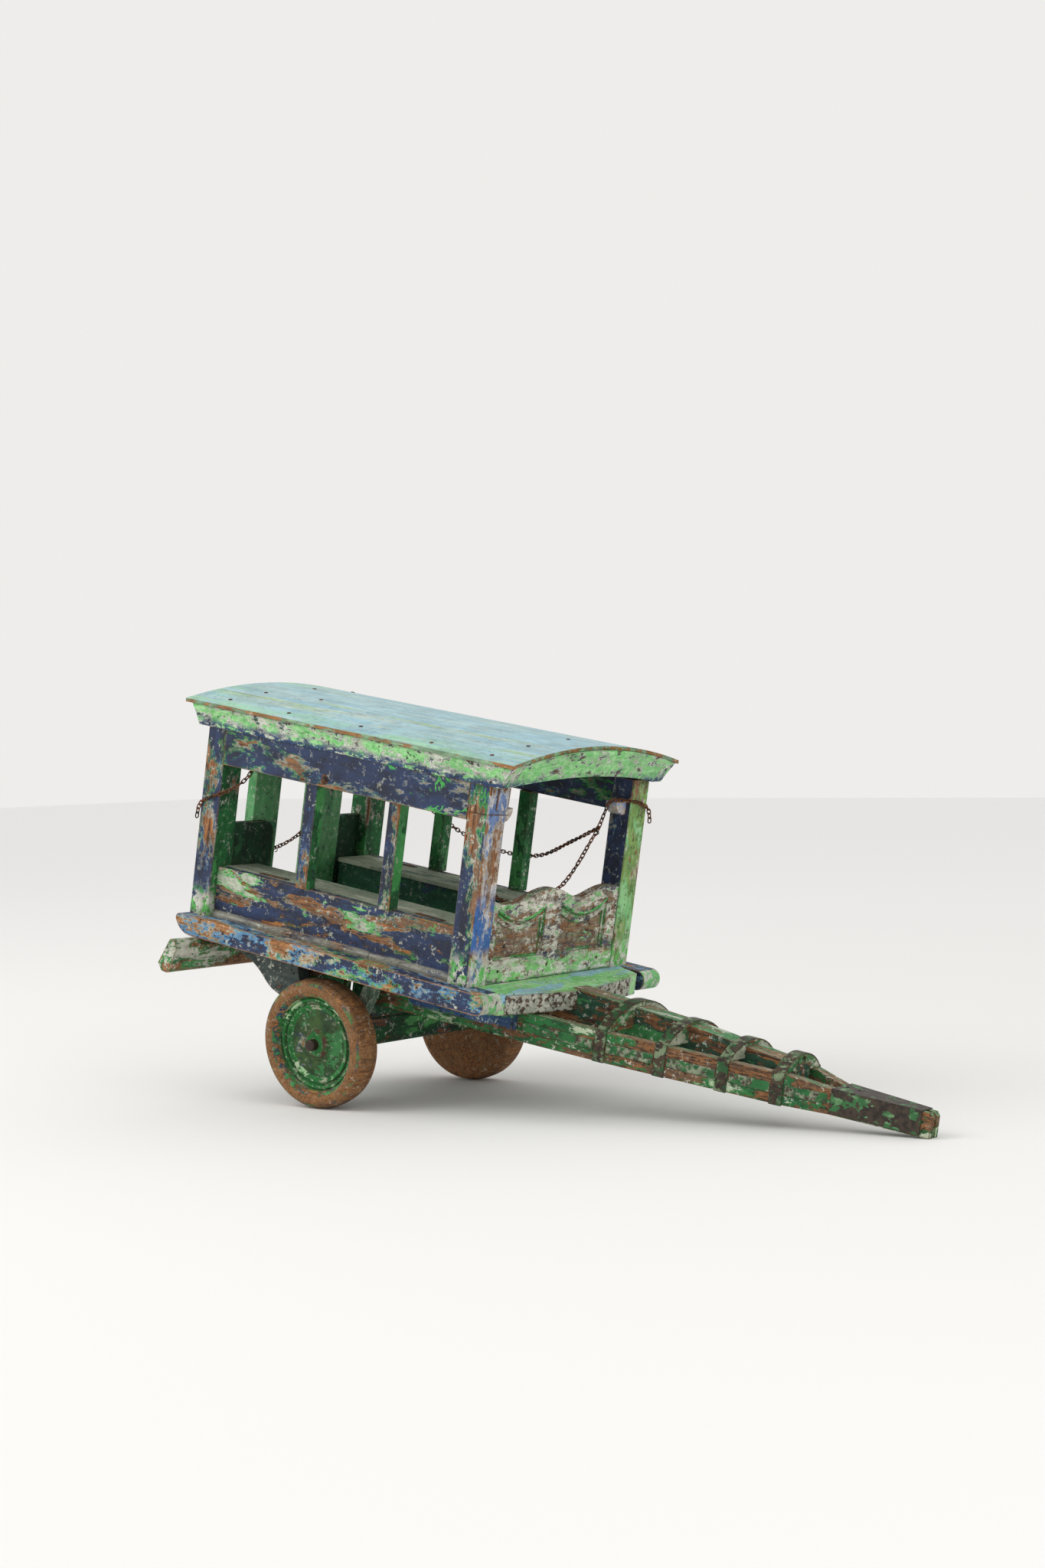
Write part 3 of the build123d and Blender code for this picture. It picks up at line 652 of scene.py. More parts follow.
# %% Paint the low sides and the sills
def side_paint():
    f = Finish("side_paint")
    coats = [(0.452, "bdbbab", "908f84", 0.24), (0.474, "6db06f", "459a4f", 0.12),
             (0.480, "1e355f", "12203e", 0.16)]
    stack = flaked(f, coats, "x", 30, 0.28, 52.0, f.edge(0.003), 0.18, ORANGE)
    belt = f.sum("MULTIPLY", f.step(along(f, "z"), 0.157, 0.172), f.step(along(f, "z"), 0.212, 0.190))
    run = f.sum("ADD", f.cloud(15.0, (0.30, 1, 1), 58.3, detail=10, rough=0.70, bend=0.3),
                f.sum("MULTIPLY", belt, 0.050))
    pale = f.step(run, 0.572, 0.579)
    brighter = f.blend(f.step(run, 0.588, 0.608), "5cbf62", "c2cbb6")
    colour = f.blend(pale, stack[0], brighter)
    bead = f.step(along(f, "z"), 0.1445, 0.1415)
    colour = f.blend(f.sum("MULTIPLY", bead, f.step(f.cloud(60, (0.2, 1, 1), 3.0), 0.36, 0.52)),
                     colour, "8f8f84")
    return paint_done(f, (colour, stack[1], stack[2]), 3.0, chips=0.7)


def sill_paint():
    f = Finish("sill_paint")
    coats = [(0.450, "cdc6b2", "b3a78c", 0.16), (0.475, "4fb852", "3a9346", 0.16),
             (0.485, "77add4", "5891c0", 0.24), (0.508, "1e3660", "122042", 0.18)]
    stack = flaked(f, coats, "x", 28, 0.45, 61.0, f.edge(0.0045), 0.26,
                   dict(dark="6e4527", light="c98c55", grey="9a7a58", greyed=0.35))
    nose = f.step(along(f, "x"), 0.262, 0.275)
    green = f.blend(f.step(f.cloud(70, seed=66.0, detail=7), 0.47, 0.50), "74c873", "cfd3c2")
    colour = f.blend(f.sum("MULTIPLY", f.sum("MULTIPLY", nose, f.facing(1, 0, 0, 0.15, 0.3)), 0.9),
                     stack[0], green)
    return paint_done(f, (colour, stack[1], stack[2]), 4.0)


for side in ("left", "right"):
    coat_on("side_panel_" + side, bpy.data.materials.get("side_paint") or side_paint())
    coat_on("sill_" + side, bpy.data.materials.get("sill_paint") or sill_paint())
print("sides and sills painted")

# %% [markdown]
# ## The carved front
# The front panel has two sunken fields whose tops sag like swags. Brown wood, navy, white
# and green lie over each other. In the carved corners a deeper green is laid, partly for
# green left where no hand rubbed and partly as painted shade. Corners are found with ambient
# occlusion at a small distance. The footboard below it is washed in pale green.

# %% Paint the front panel and the footboard
def front_paint():
    f = Finish("front_paint")
    edge = f.edge(0.0025)
    stack = flaked(f, [(0.47, "4a546c", "333f58", 0.20), (0.488, "e2dfd2", "b3ae9f", 0.30),
                       (0.566, "8cc884", "58ad56", 0.32)], "y", 74, 0.42, 71.0, edge, 0.04,
                   dict(dark="573b28", light="b07a4c", grey="8b8372", greyed=0.7))
    foot = f.step(along(f, "z"), 0.166, 0.150)
    pale = f.blend(f.step(f.cloud(70, (1, 0.4, 1), 74.0, detail=10, rough=0.72), 0.47, 0.50),
                   "e6e9db", "8fd884")
    washed = f.step(f.cloud(90, (1, 0.4, 1), 75.0, detail=9, rough=0.72), 0.455, 0.475)
    colour = f.blend(f.sum("MULTIPLY", foot, washed), stack[0], pale)
    deep_in = f.step(along(f, "x"), 0.2425, 0.2412)
    field = wood(f, "y", "4f3524", "a8754a", "7f7564", 79.0, 0.8)[0]
    bare = f.step(f.cloud(70, (1, 0.5, 1), 78.0, detail=10, rough=0.72), 0.555, 0.535)
    colour = f.blend(f.sum("MULTIPLY", f.sum("MULTIPLY", deep_in, bare), 0.85), colour, field)
    # Partly painted shade: ambient occlusion finds the carved corners, and a deeper green is laid there.
    carved = f.add("ShaderNodeAmbientOcclusion", samples=6)
    carved.inputs["Distance"].default_value = 0.0045
    fresh = f.step(carved.outputs["AO"], 0.86, 0.66)
    here = f.step(f.cloud(28, seed=77.0, detail=4), 0.42, 0.50)
    front = f.facing(1, 0, 0, -0.4, 0.0)
    colour = f.blend(f.sum("MULTIPLY", f.sum("MULTIPLY", fresh, here), front), colour, "2f9a43")
    return paint_done(f, (colour, stack[1], stack[2]), 5.0, deep=0.0008, amount=0.5)


def footboard_paint():
    f = Finish("footboard_paint")
    stack = flaked(f, [(0.395, "d9ddcd", "b7c4ac", 0.16), (0.448, "82d07f", "a6df9e", 0.20),
                       (0.56, "9ccbe0", "8fc3cf", 0.10)], "y", 22, 0.2, 81.0, f.edge(0.003),
                   0.16, ORANGE)
    return paint_done(f, stack, 6.0)


coat_on("front_panel", front_paint())
coat_on("front_board", footboard_paint())
print("front painted")

# %% [markdown]
# ## Inside the cab
# Inside everything is green. The bench tops are rubbed grey by sitting, with lighter lips,
# the boards below them are dark, and the rear boards are a deep even green. The frame of
# the rear doorway is a fresher, lighter green.

# %% Paint the inside
def plain_green(name, seed, coats, grain="z", patch=22, draw=0.4, edge_wear=0.16, timber=None,
                chips=1.0):
    f = Finish(name)
    stack = flaked(f, coats, grain, patch, draw, seed, f.edge(0.003), edge_wear, timber)
    return paint_done(f, stack, seed, chips=chips)


bench_paint = plain_green("bench_paint", 91.0, [
    (0.35, "5f7a63", "4a6653", 0.12), (0.42, "8f9f88", "a9b09a", 0.14),
    (0.56, "c2c6b2", "b5bba6", 0.12)], "x", 16, 0.25, 0.04, chips=0.5)
apron_paint = plain_green("apron_paint", 94.0, [
    (0.36, "23405a", "1d3350", 0.1), (0.41, "1f5c3b", "174a31", 0.12),
    (0.60, "4f8a6a", "3f7d5c", 0.1)], "x", chips=0.35)
deep_green = plain_green("deep_green", 97.0, [
    (0.33, "8c9a84", "5f7a64", 0.08), (0.37, "0f4524", "08301a", 0.08),
    (0.62, "1c6a38", "17592f", 0.08)], chips=0.3)
door_green = plain_green("door_green", 99.0, [
    (0.36, "c3c9b6", "a9b39c", 0.10), (0.40, "3f8f66", "2f7a54", 0.10),
    (0.46, "4fa35d", "6ab675", 0.16)])
floor_paint = plain_green("floor_paint", 102.0, [
    (0.44, "4a6f93", "35587e", 0.14), (0.53, "3f7f5c", "2f6a4a", 0.12)], "x")
for side in ("left", "right"):
    coat_on("bench_" + side, bench_paint)
    coat_on("bench_apron_" + side, apron_paint)
    coat_on("rear_panel_" + side, deep_green)
    coat_on("door_post_" + side, door_green)
coat_on("floor_boards", floor_paint)
print("inside painted")

# %% [markdown]
# ## Underneath: beams, hangers and struts
# The cross beam sticks out behind, green and brown with a whitish band and bare brown ends.
# The axle beam is green. The hangers and struts are grey-green.

# %% Paint the beams
beam_paint = plain_green("beam_paint", 105.0, [
    (0.40, "24405a", "1d344a", 0.14), (0.44, "1f5f34", "174a2a", 0.18),
    (0.545, "43a84c", "2f8a40", 0.18)], "y", 34, 0.25, 0.10)
cross_paint = plain_green("cross_paint", 107.0, [
    (0.465, "4a9350", "2f6a3c", 0.20), (0.520, "d0d0c0", "a9ac9b", 0.24)], "y", 40, 0.3, 0.22,
    dict(dark="5a3a24", light="b88050", grey="8a7862"))
hanger_paint = plain_green("hanger_paint", 109.0, [
    (0.36, "566360", "47524f", 0.10), (0.60, "c4c7bf", "aab0a6", 0.10)], "x")
strut_paint = plain_green("strut_paint", 111.0, [
    (0.38, "4c6a58", "5f7a68", 0.10), (0.54, "8a9c88", "a3ae9a", 0.12)], "z")
coat_on("axle_beam", beam_paint)
coat_on("bolster", beam_paint)
coat_on("rear_cross_beam", cross_paint)
for side in ("left", "right"):
    coat_on("hanger_" + side, hanger_paint)
    coat_on("strut_" + side, strut_paint)
coat_on("axle_iron", rusty_iron("axle_rust", "33251f", "6b4327", 0.44, 0.5))
print("underside painted")

# %% [markdown]
# ## Turned wheels
# Each wheel is one piece of turned wood. Its tread and rim have worn to orange-brown wood
# with crumbs of navy and green, the sunken disc is olive green, and two raised rings and
# the boss are brighter. The rings are round the axle, so the finish measures its distance
# from the axle and picks coats by that.

# %% Paint the wheels
def wheel_paint(name, side, axis, seed):
    f = Finish(name)
    centre = at(0, side * 171.7, 0)
    axle = Vector(axis).normalized()
    arm = f.add("ShaderNodeVectorMath", operation="SUBTRACT")
    f.join(f.place.outputs["Object"], arm.inputs[0])
    arm.inputs[1].default_value = centre
    depth = f.add("ShaderNodeVectorMath", operation="DOT_PRODUCT")
    f.join(arm.outputs[0], depth.inputs[0])
    depth.inputs[1].default_value = axle
    cross = f.add("ShaderNodeVectorMath", operation="CROSS_PRODUCT")
    f.join(arm.outputs[0], cross.inputs[0])
    cross.inputs[1].default_value = axle
    size = f.add("ShaderNodeVectorMath", operation="LENGTH")
    f.join(cross.outputs[0], size.inputs[0])
    r, u = size.outputs["Value"], depth.outputs["Value"]
    edge = f.edge(0.0025)
    rubbed = dict(dark="5d3c22", light="b9824a", grey="8f7355", greyed=0.4)
    rim = flaked(f, [(0.500, "2b4462", "26384f", 0.18), (0.535, "3a8e46", "2a743b", 0.24)],
                 "x", 52, 0.8, seed, edge, 0.10, rubbed)
    tread = flaked(f, [(0.66, "5c6a4c", "4a5a44", 0.05)], "y", 30, 0.5, seed + 2.0, None, 0.0,
                   dict(dark="5f3e24", light="a87341", grey="8a6a49", greyed=0.5))
    disc = flaked(f, [(0.35, "a3aa90", "7f8a70", 0.12), (0.38, "24405a", "1f3450", 0.16),
                      (0.42, "3d5a2c", "294626", 0.18), (0.560, "276f36", "2f7f3e", 0.18)],
                  "x", 30, 0.8, seed + 4.0, edge, 0.12, rubbed)
    ring = flaked(f, [(0.36, "b9c2a6", "98a588", 0.12), (0.42, "237a36", "1f6a30", 0.14),
                      (0.57, "a8d69c", "c6dcb6", 0.08)], "x", 40, 0.9, seed + 6.0, edge, 0.05,
                  rubbed)
    rings = f.sum("MULTIPLY", f.step(r, 0.0465, 0.0485), f.step(r, 0.0665, 0.0645))
    boss = f.step(r, 0.0215, 0.0205)
    stack = two_sides(f, f.step(r, 0.0625, 0.0665), disc, rim)
    stack = two_sides(f, f.sum("MAXIMUM", rings, boss), stack, ring)
    outside = f.sum("MAXIMUM", f.step(r, 0.0830, 0.0885),
                    f.sum("MULTIPLY", f.step(u, 0.0200, 0.0215), f.step(r, 0.066, 0.070)))
    inside = f.step(u, -0.004, -0.012)
    worn = f.sum("MAXIMUM", f.sum("MULTIPLY", outside, 0.97), inside)
    colour, height, cover = two_sides(f, worn, stack, tread)
    rust = f.sum("MULTIPLY", f.step(r, 0.0145, 0.0165), f.step(r, 0.0215, 0.0195))
    here = f.sum("MULTIPLY", rust, f.step(f.cloud(60, seed=seed + 9), 0.40, 0.52))
    colour = f.blend(here, colour, "5b4230")
    return paint_done(f, (colour, height, cover), seed, deep=0.0005, chips=0.4)


coat_on("wheel_right", wheel_paint("wheel_near", -1, (-0.012116, -0.997564, -0.068696), 121.0))
coat_on("wheel_left", wheel_paint("wheel_far", 1, (-0.003031, 0.999848, -0.017187), 131.0))
print("wheels painted")

# %% [markdown]
# ## The drawbar
# Two bent rails and a pole between them run to the tip, tied by four arched saddles, each
# under a strap of embossed tin. The wood is dark brown with green left in its hollows. The
# tops are paler. The tin keeps more green than the wood, and its high spots shine brown.

# %% Paint the drawbar
def drawbar_wood(name, seed, side_coats, top_coats, timber, root=0.0):
    f = Finish(name)
    edge = f.edge(0.003)
    low = f.step(along(f, "x"), 0.405, 0.375, 0.0, root) if root else None
    sides = flaked(f, side_coats, "x", 24, 0.3, seed, edge, 0.16, timber, low)
    tops = flaked(f, top_coats, "x", 26, 0.25, seed + 3.0, edge, 0.12,
                  dict(dark="5a432f", light="a98a66", grey="8f8370", greyed=0.7))
    return paint_done(f, two_sides(f, f.facing(0, 0, 1), sides, tops), seed)


dark_timber = dict(dark="33221a", light="9a683c", grey="6d5b49", greyed=0.45)
rail_paint = drawbar_wood("rail_paint", 141.0, [
    (0.50, "2c7a3e", "1c5a30", 0.16), (0.575, "9cc08f", "c3ccb2", 0.12)], [
    (0.50, "4f7f55", "6b9268", 0.14), (0.58, "b9bfa8", "a4ac94", 0.10)], dark_timber)
pole_paint = drawbar_wood("pole_paint", 145.0, [
    (0.44, "1d4a38", "24503a", 0.14), (0.53, "3a8a4a", "2f7a42", 0.12)], [
    (0.45, "4a8a58", "5d9a66", 0.18), (0.53, "c0c6b4", "a6b09c", 0.14)], dark_timber, 0.10)
cheek_paint = drawbar_wood("cheek_paint", 148.0, [
    (0.40, "2b4a72", "3a5c86", 0.14), (0.55, "4a9a58", "3c8a4c", 0.10)], [
    (0.45, "3f6a8c", "5a86a0", 0.14)], dark_timber)
saddle_paint = plain_green("saddle_paint", 151.0, [
    (0.45, "3c8a4a", "2c7040", 0.14), (0.51, "bcc2ab", "a3ab92", 0.16)], "y", 34, 0.5, 0.22,
    dark_timber)
for side in ("left", "right"):
    coat_on("drawbar_rail_" + side, rail_paint)
    coat_on("drawbar_cheek_" + side, cheek_paint)
coat_on("drawbar_pole", pole_paint)
for number in range(1, 5):
    coat_on("saddle_" + str(number), saddle_paint)
print("drawbar painted")


# %% Paint the tin
def old_tin(name, seed, paint, other, bare, rust, cover=0.5, scale=70):
    """Sheet metal: paint in the hollows, brown metal on the high spots, rust in patches."""
    f = Finish(name)
    edge = f.edge(0.0015)
    field = f.sum("SUBTRACT", f.cloud(scale, (0.7, 1, 1), seed, detail=8, rough=0.65),
                  f.sum("MULTIPLY", edge, 0.10))
    kept = f.step(field, cover - 0.012, cover + 0.012)
    metal = f.blend(f.step(f.cloud(120, seed=seed + 2, detail=6), 0.42, 0.60), bare, rust)
    coat = f.blend(f.step(f.cloud(50, seed=seed + 4, detail=6), 0.45, 0.58), paint, other)
    colour = f.blend(kept, metal, coat)
    rough = f.step(kept, 0.0, 1.0, 0.55, 0.62)
    height = f.sum("ADD", f.sum("MULTIPLY", kept, 0.6), f.cloud(300, seed=seed + 6, detail=3))
    # Painted shade: the tin's corners are darkened here by ambient occlusion, with dirt and dust.
    return f.done(grime_and_corner_shade(f, colour, seed, "241d17"), rough, height, 0.0003, metal=0.25,
                  soft_edge=0.0008)


strap_tin = old_tin("strap_tin", 161.0, "28582f", "7f9070", "4a3a2a", "2a2019", 0.50, 110)
sheath_tin = old_tin("sheath_tin", 165.0, "35703f", "6f9a6c", "463a2f", "2a211b", 0.545, 70)
white_tin = old_tin("white_tin", 169.0, "c4c5b8", "a3aa9b", "6b584a", "40332c", 0.465, 120)
for number in range(1, 5):
    coat_on("strap_" + str(number), strap_tin)
coat_on("tip_sheath", sheath_tin)
peg_wood = plain_green("peg_paint", 173.0, [
    (0.43, "cfc8be", "b7a79c", 0.12), (0.56, "8fa9d9", "9db3d6", 0.12)], "y", 40, 0.6, 0.2,
    ORANGE)
coat_on("peg_left", peg_wood)
coat_on("peg_right", peg_wood)
print("tin and pegs painted")

# %% [markdown]
# ## Nails, bolts and small irons
# Hand-made nails have low domed heads that never sit quite square. A head is a short stack
# of rings closed by a fan, tilted a little. All the nails of one board make one piece, which
# keeps the list of pieces short.

# %% Make nail heads
old_iron = rusty_iron("old_iron", "2d2420", "6a4630", 0.5, 0.5)


def finish_piece(name, shape, material, smooth=True):
    """Turn a shape into a piece of the cart with its finish."""
    bmesh.ops.recalc_face_normals(shape, faces=shape.faces)
    mesh = bpy.data.meshes.new(name)
    shape.to_mesh(mesh)
    shape.free()
    for face in mesh.polygons:
        face.use_smooth = smooth
    piece = bpy.data.objects.new(name, mesh)
    bpy.context.scene.collection.objects.link(piece)
    mesh.materials.append(material)
    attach(piece, "cart")
    return piece


def nail_head(shape, place, outward, radius, height, lean=0.06, seed=0):
    """A domed head of a nail, standing on a level place and leaning a little."""
    n = turn(*outward).normalized()
    n = (n + Vector((sin(seed * 3.1), cos(seed * 2.3), sin(seed * 1.7))) * lean).normalized()
    a = n.orthogonal().normalized()
    b = n.cross(a)
    foot = at(*place)
    rings = []
    for share, lift in ((1.0, -0.6), (1.0, 0.15), (0.9, 0.55), (0.62, 0.88), (0.28, 1.0)):
        rings.append([shape.verts.new(foot + n * height * lift / 1000 + (a * cos(t) + b * sin(t))
                      * radius * share * (1 + 0.06 * sin(3 * t + seed)) / 1000)
                      for t in (tau * k / 14 for k in range(14))])
    for low, high in zip(rings, rings[1:]):
        for k in range(14):
            shape.faces.new((low[k], low[(k + 1) % 14], high[(k + 1) % 14], high[k]))
    shape.faces.new(rings[-1])
    shape.faces.new(list(reversed(rings[0])))


ROOF_HALF, ROOF_RISE, ROOF_EDGE = 193.0, 23.0, 434.6   # half width, rise, height at the edge
CROWN = (ROOF_HALF ** 2 + ROOF_RISE ** 2) / (2 * ROOF_RISE)


def roof_top(y):
    """Height of the crowned roof above the axle, at a distance from the middle."""
    return ROOF_EDGE + ROOF_RISE - (CROWN - sqrt(CROWN ** 2 - y * y))


nails = bmesh.new()
roof_nails = [(-241, -165), (-235, -99), (-124, -171), (-151, -75), (2, -165), (131, -171),
              (233, -171), (239, -102), (230, 0), (251, 150), (-238, 96), (-240, 168),
              (-118, 170), (6, 168), (128, 171), (236, 168), (-232, 2)]
for k, (x, y) in enumerate(roof_nails):
    nail_head(nails, (x, y, roof_top(y)), (0, y / CROWN, 1), 3.1, 1.1, seed=k)
finish_piece("roof_nails", nails, old_iron)

nails = bmesh.new()
for k, (y, z, r) in enumerate(((-119, 149, 2.2), (-9, 150, 2.2), (110, 150, 2.2), (-104, 181, 2.6),
                               (88, 190, 2.6), (-60, 205, 1.6))):
    sunk = 246.0 - (5.5 if z > 170 else 0.0)
    nail_head(nails, (sunk, y, z), (1, 0, 0), r, 0.9, seed=k + 3)
finish_piece("front_nails", nails, old_iron)

nails = bmesh.new()
for k, (x, z) in enumerate(((-170, 121), (-96, 117), (104, 120), (148, 116), (182, 121), (236, 118))):
    nail_head(nails, (x, -206.5, z), (0, -1, 0), 2.0, 0.8, seed=k + 5)
for k, x in enumerate((-176, -20, 30, 170)):
    nail_head(nails, (x, -172, 166 + 6 * (k % 2)), (0, -1, 0), 1.8, 0.8, seed=k + 8)
finish_piece("side_nails", nails, old_iron)

bolt = bmesh.new()
nail_head(bolt, (-34, -185.4, 362), (0, -1, 0), 7.0, 1.0, 0.02, 1)
nail_head(bolt, (-34, -186.4, 362), (0, -1, 0), 4.6, 3.2, 0.04, 2)
finish_piece("header_bolt", bolt, old_iron)
print("nails and bolt driven in")

# %% [markdown]
# ## Bench plates, hook, staples and wire
# Thin forged plates are nailed over cracks in the bench boards. Chain ends hang from small
# staples, and an S-hook of bent wire joins two chains. These are all one idea: a round or
# flat bar swept along a bent line, so one helper makes them.

# %% Bend wire and lay plates
def wire_round(shape, places, thick, closed=False):
    """Round wire along level places, with flat ends."""
    points = [at(*p) for p in places]
    rings = []
    side = Vector((0.31, 0.17, 0.93))
    for i, p in enumerate(points):
        before = points[i - 1] if i or closed else p
        after = points[(i + 1) % len(points)] if closed or i + 1 < len(points) else p
        ahead_ = (after - before).normalized()
        side = (side - ahead_ * side.dot(ahead_)).normalized()
        third = ahead_.cross(side)
        rings.append([shape.verts.new(p + (side * cos(t) + third * sin(t)) * thick / 2000)
                      for t in (tau * k / 8 for k in range(8))])
    pairs = list(zip(rings, rings[1:])) + ([(rings[-1], rings[0])] if closed else [])
    for low, high in pairs:
        for k in range(8):
            shape.faces.new((low[k], low[(k + 1) % 8], high[(k + 1) % 8], high[k]))
    if not closed:
        shape.faces.new(rings[-1])
        shape.faces.new(list(reversed(rings[0])))


def flat_plate(shape, middle, along_, across, out, length, width, thick):
    """A forged plate with clipped corners and a chamfer round its top."""
    c, l, w = Vector(middle), Vector(along_).normalized(), Vector(across).normalized()
    n = Vector(out).normalized()
    outline = []
    for sx, sy in ((1, 1), (-1, 1), (-1, -1), (1, -1)):
        clip = ((0.5, 0.36), (0.46, 0.5)) if sx * sy > 0 else ((0.46, 0.5), (0.5, 0.36))
        outline += [(sx * u * length, sy * v * width) for u, v in clip]
    layers = []
    for lift, grow in ((0.0, 1.0), (0.7, 1.0), (1.0, 0.93)):
        layers.append([shape.verts.new(at(*(c + l * u * grow + w * v * grow + n * thick * lift)))
                       for u, v in outline])
    for low, high in zip(layers, layers[1:]):
        for k in range(8):
            shape.faces.new((low[k], low[(k + 1) % 8], high[(k + 1) % 8], high[k]))
    shape.faces.new(layers[-1])
    shape.faces.new(list(reversed(layers[0])))


plates = bmesh.new()
for x, y, twist in ((-136, -150, 0.05), (149, -152, -0.06), (-150, 151, 0.03)):
    flat_plate(plates, (x, y, 205.05), (1, twist, 0), (-twist, 1, 0), (0, 0, 1), 52, 7.5, 1.4)
    for k, reach in enumerate((-20, 20)):
        nail_head(plates, (x + reach, y + reach * twist, 206.4), (0, 0, 1), 2.0, 0.8, seed=k)
finish_piece("bench_plates", plates, old_iron, smooth=False)

hooks = bmesh.new()
s_line = [(226 + 2.6 * cos(t) * (1 if t < pi else -1), 104 + 0.5 * sin(t),
           326 + 4.2 * (1 - t / pi) + 2.8 * sin(t)) for t in (2 * pi * k / 22 for k in range(23))]
wire_round(hooks, s_line, 1.3)
finish_piece("chain_hook", hooks, old_iron)

staples = bmesh.new()
for place, out, across in (((-236, 185.6, 352), (0, 1, 0), (1, 0, 0)),
                           ((223, -145.2, 262), (0, 1, 0), (0, 0, 1)),
                           ((-184, -165.3, 366), (0, 1, 0), (1, 0, 0)),
                           ((-241, -34.6, 218.5), (0, 1, 0), (0, 0, 1)),
                           ((-241, 34.6, 243.2), (0, -1, 0), (0, 0, 1))):
    o, a = Vector(out), Vector(across)
    p = Vector(place)
    bow = [p + a * 2.6 * cos(t) + o * (1.0 + 3.0 * sin(t)) for t in (pi * k / 12 for k in range(13))]
    wire_round(staples, [p + a * 2.6 - o * 0.4] + bow + [p - a * 2.6 - o * 0.4], 1.3)
finish_piece("chain_staples", staples, old_iron)

tie = bmesh.new()
ring = []
for k in range(48):
    t = tau * k / 48
    u, v = cos(t), sin(t)
    push = 1.0 / max(abs(u), abs(v))
    push = min(push, 1.22)
    ring.append((231 + 18.0 * u * push, -165.4 - 21.0 * v * push, 362 + 1.5 * sin(t + 0.6)))
wire_round(tie, ring, 1.1, closed=True)
finish_piece("post_wire", tie, old_iron)

batten = bmesh.new()
flat_plate(batten, (248.2, -157, 384), (0, 0.04, 1), (0, 1, -0.04), (1, 0, 0), 33, 24, 3.2)
finish_piece("post_batten", batten, bpy.data.materials["post_near_front"], smooth=False)
print("plates, hooks, staples and wire in place")

# %% [markdown]
# ## Embossed tin
# The nose of the footboard and the outer faces of the drawbar rails are dressed with thin
# tin, punched from behind with rings, dots and rows of ticks. A grid finer than the pattern
# is lifted by a small height function, then closed with a back, so the relief is real and
# catches the light from any side.

# %% Dress the wood with tin
def embossed(shape, spot, relief, wide, high, thick, fine=1.0):
    """A closed sheet: spot(u, v) gives its level place and the way out, relief its lift."""
    nu, nv = max(2, round(wide / fine)), max(2, round(high / fine))
    front, back = [], []
    for i in range(nu + 1):
        row_f, row_b = [], []
        for j in range(nv + 1):
            u, v = wide * i / nu, high * j / nv
            place, out = spot(u, v)
            rim = min(u, v, wide - u, high - v)
            lift = thick + relief(u, v) * min(1.0, max(0.0, rim - 1.0) / 1.5)
            row_f.append(shape.verts.new(at(*(place + out * lift))))
            row_b.append(shape.verts.new(at(*place)))
        front.append(row_f)
        back.append(row_b)
    for i in range(nu):
        for j in range(nv):
            shape.faces.new((front[i][j], front[i + 1][j], front[i + 1][j + 1], front[i][j + 1]))
            shape.faces.new((back[i][j], back[i][j + 1], back[i + 1][j + 1], back[i + 1][j]))
    for i in range(nu):
        shape.faces.new((front[i][0], back[i][0], back[i + 1][0], front[i + 1][0]))
        shape.faces.new((front[i][nv], front[i + 1][nv], back[i + 1][nv], back[i][nv]))
    for j in range(nv):
        shape.faces.new((front[0][j], front[0][j + 1], back[0][j + 1], back[0][j]))
        shape.faces.new((front[nu][j], back[nu][j], back[nu][j + 1], front[nu][j + 1]))


def hill(distance, reach):
    """A smooth bump of height 1 that dies out at reach."""
    return max(0.0, 1.0 - (distance / reach) ** 2) ** 2


def rings_and_dots(u, v):
    """Rings in a row, a dot in each, small dots between and a beaded border."""
    cu = (u - 2) % 21.0 - 10.5
    cv = v - 14.0
    r = sqrt(cu * cu + cv * cv)
    height = 1.3 * hill(abs(r - 7.2), 1.7) + 1.2 * hill(r, 2.6)
    for du in (-10.5, 10.5):
        for dv in (-7.0, 0.0, 7.0):
            height += 0.6 * hill(sqrt((cu - du) ** 2 + (cv - dv) ** 2), 1.9)
    height += 0.55 * hill(sqrt((u % 3.4 - 1.7) ** 2 + (v - 2.4) ** 2), 1.5)
    return height + 0.25 * noise.noise(Vector((u * 0.11, v * 0.13, 0.4)))


for name, sign, start, wide in (("nose_tin_near", -1, 12.0, 132.0), ("nose_tin_far", 1, 22.0, 112.0)):
    corner = Vector((284.0, sign * 160.5, 0.0))
    run = (Vector((313.0, 0.0, 0.0)) - corner).normalized()
    out = Vector((run.y * -sign, run.x * sign, 0.0))
    out = out if out.x > 0 else -out

    def spot(u, v, corner=corner, run=run, out=out, start=start):
        return corner + run * (start + u) + Vector((0, 0, 101.6 + v)) + out * 0.3, out
    tin = bmesh.new()
    embossed(tin, spot, rings_and_dots, wide, 26.0, 0.6, 0.85)
    finish_piece(name, tin, white_tin)
print("nose dressed")


# %% Tin strips along the rails
RAIL = [(20, 110), (300, 88), (415, 79), (485, 69), (570, 57), (650, 46), (715, 25), (851, 11)]
strip_tin = old_tin("strip_tin", 181.0, "2a7039", "1c5a30", "8f9a80", "43362a", 0.47, 95)


def rail_side(x):
    """The rail's outer face at x, and its slope."""
    for (xa, ya), (xb, yb) in zip(RAIL, RAIL[1:]):
        if x <= xb:
            return ya + (yb - ya) * (x - xa) / (xb - xa), (yb - ya) / (xb - xa)
    return RAIL[-1][1], 0.0


def ticks(u, v):
    """A row of short upright ticks between two thin lines."""
    tick = hill(abs(u % 4.2 - 2.1), 1.2) * hill(abs(v - 6.5), 3.4)
    return 0.9 * tick + 0.45 * (hill(abs(v - 1.8), 1.2) + hill(abs(v - 11.2), 1.2))


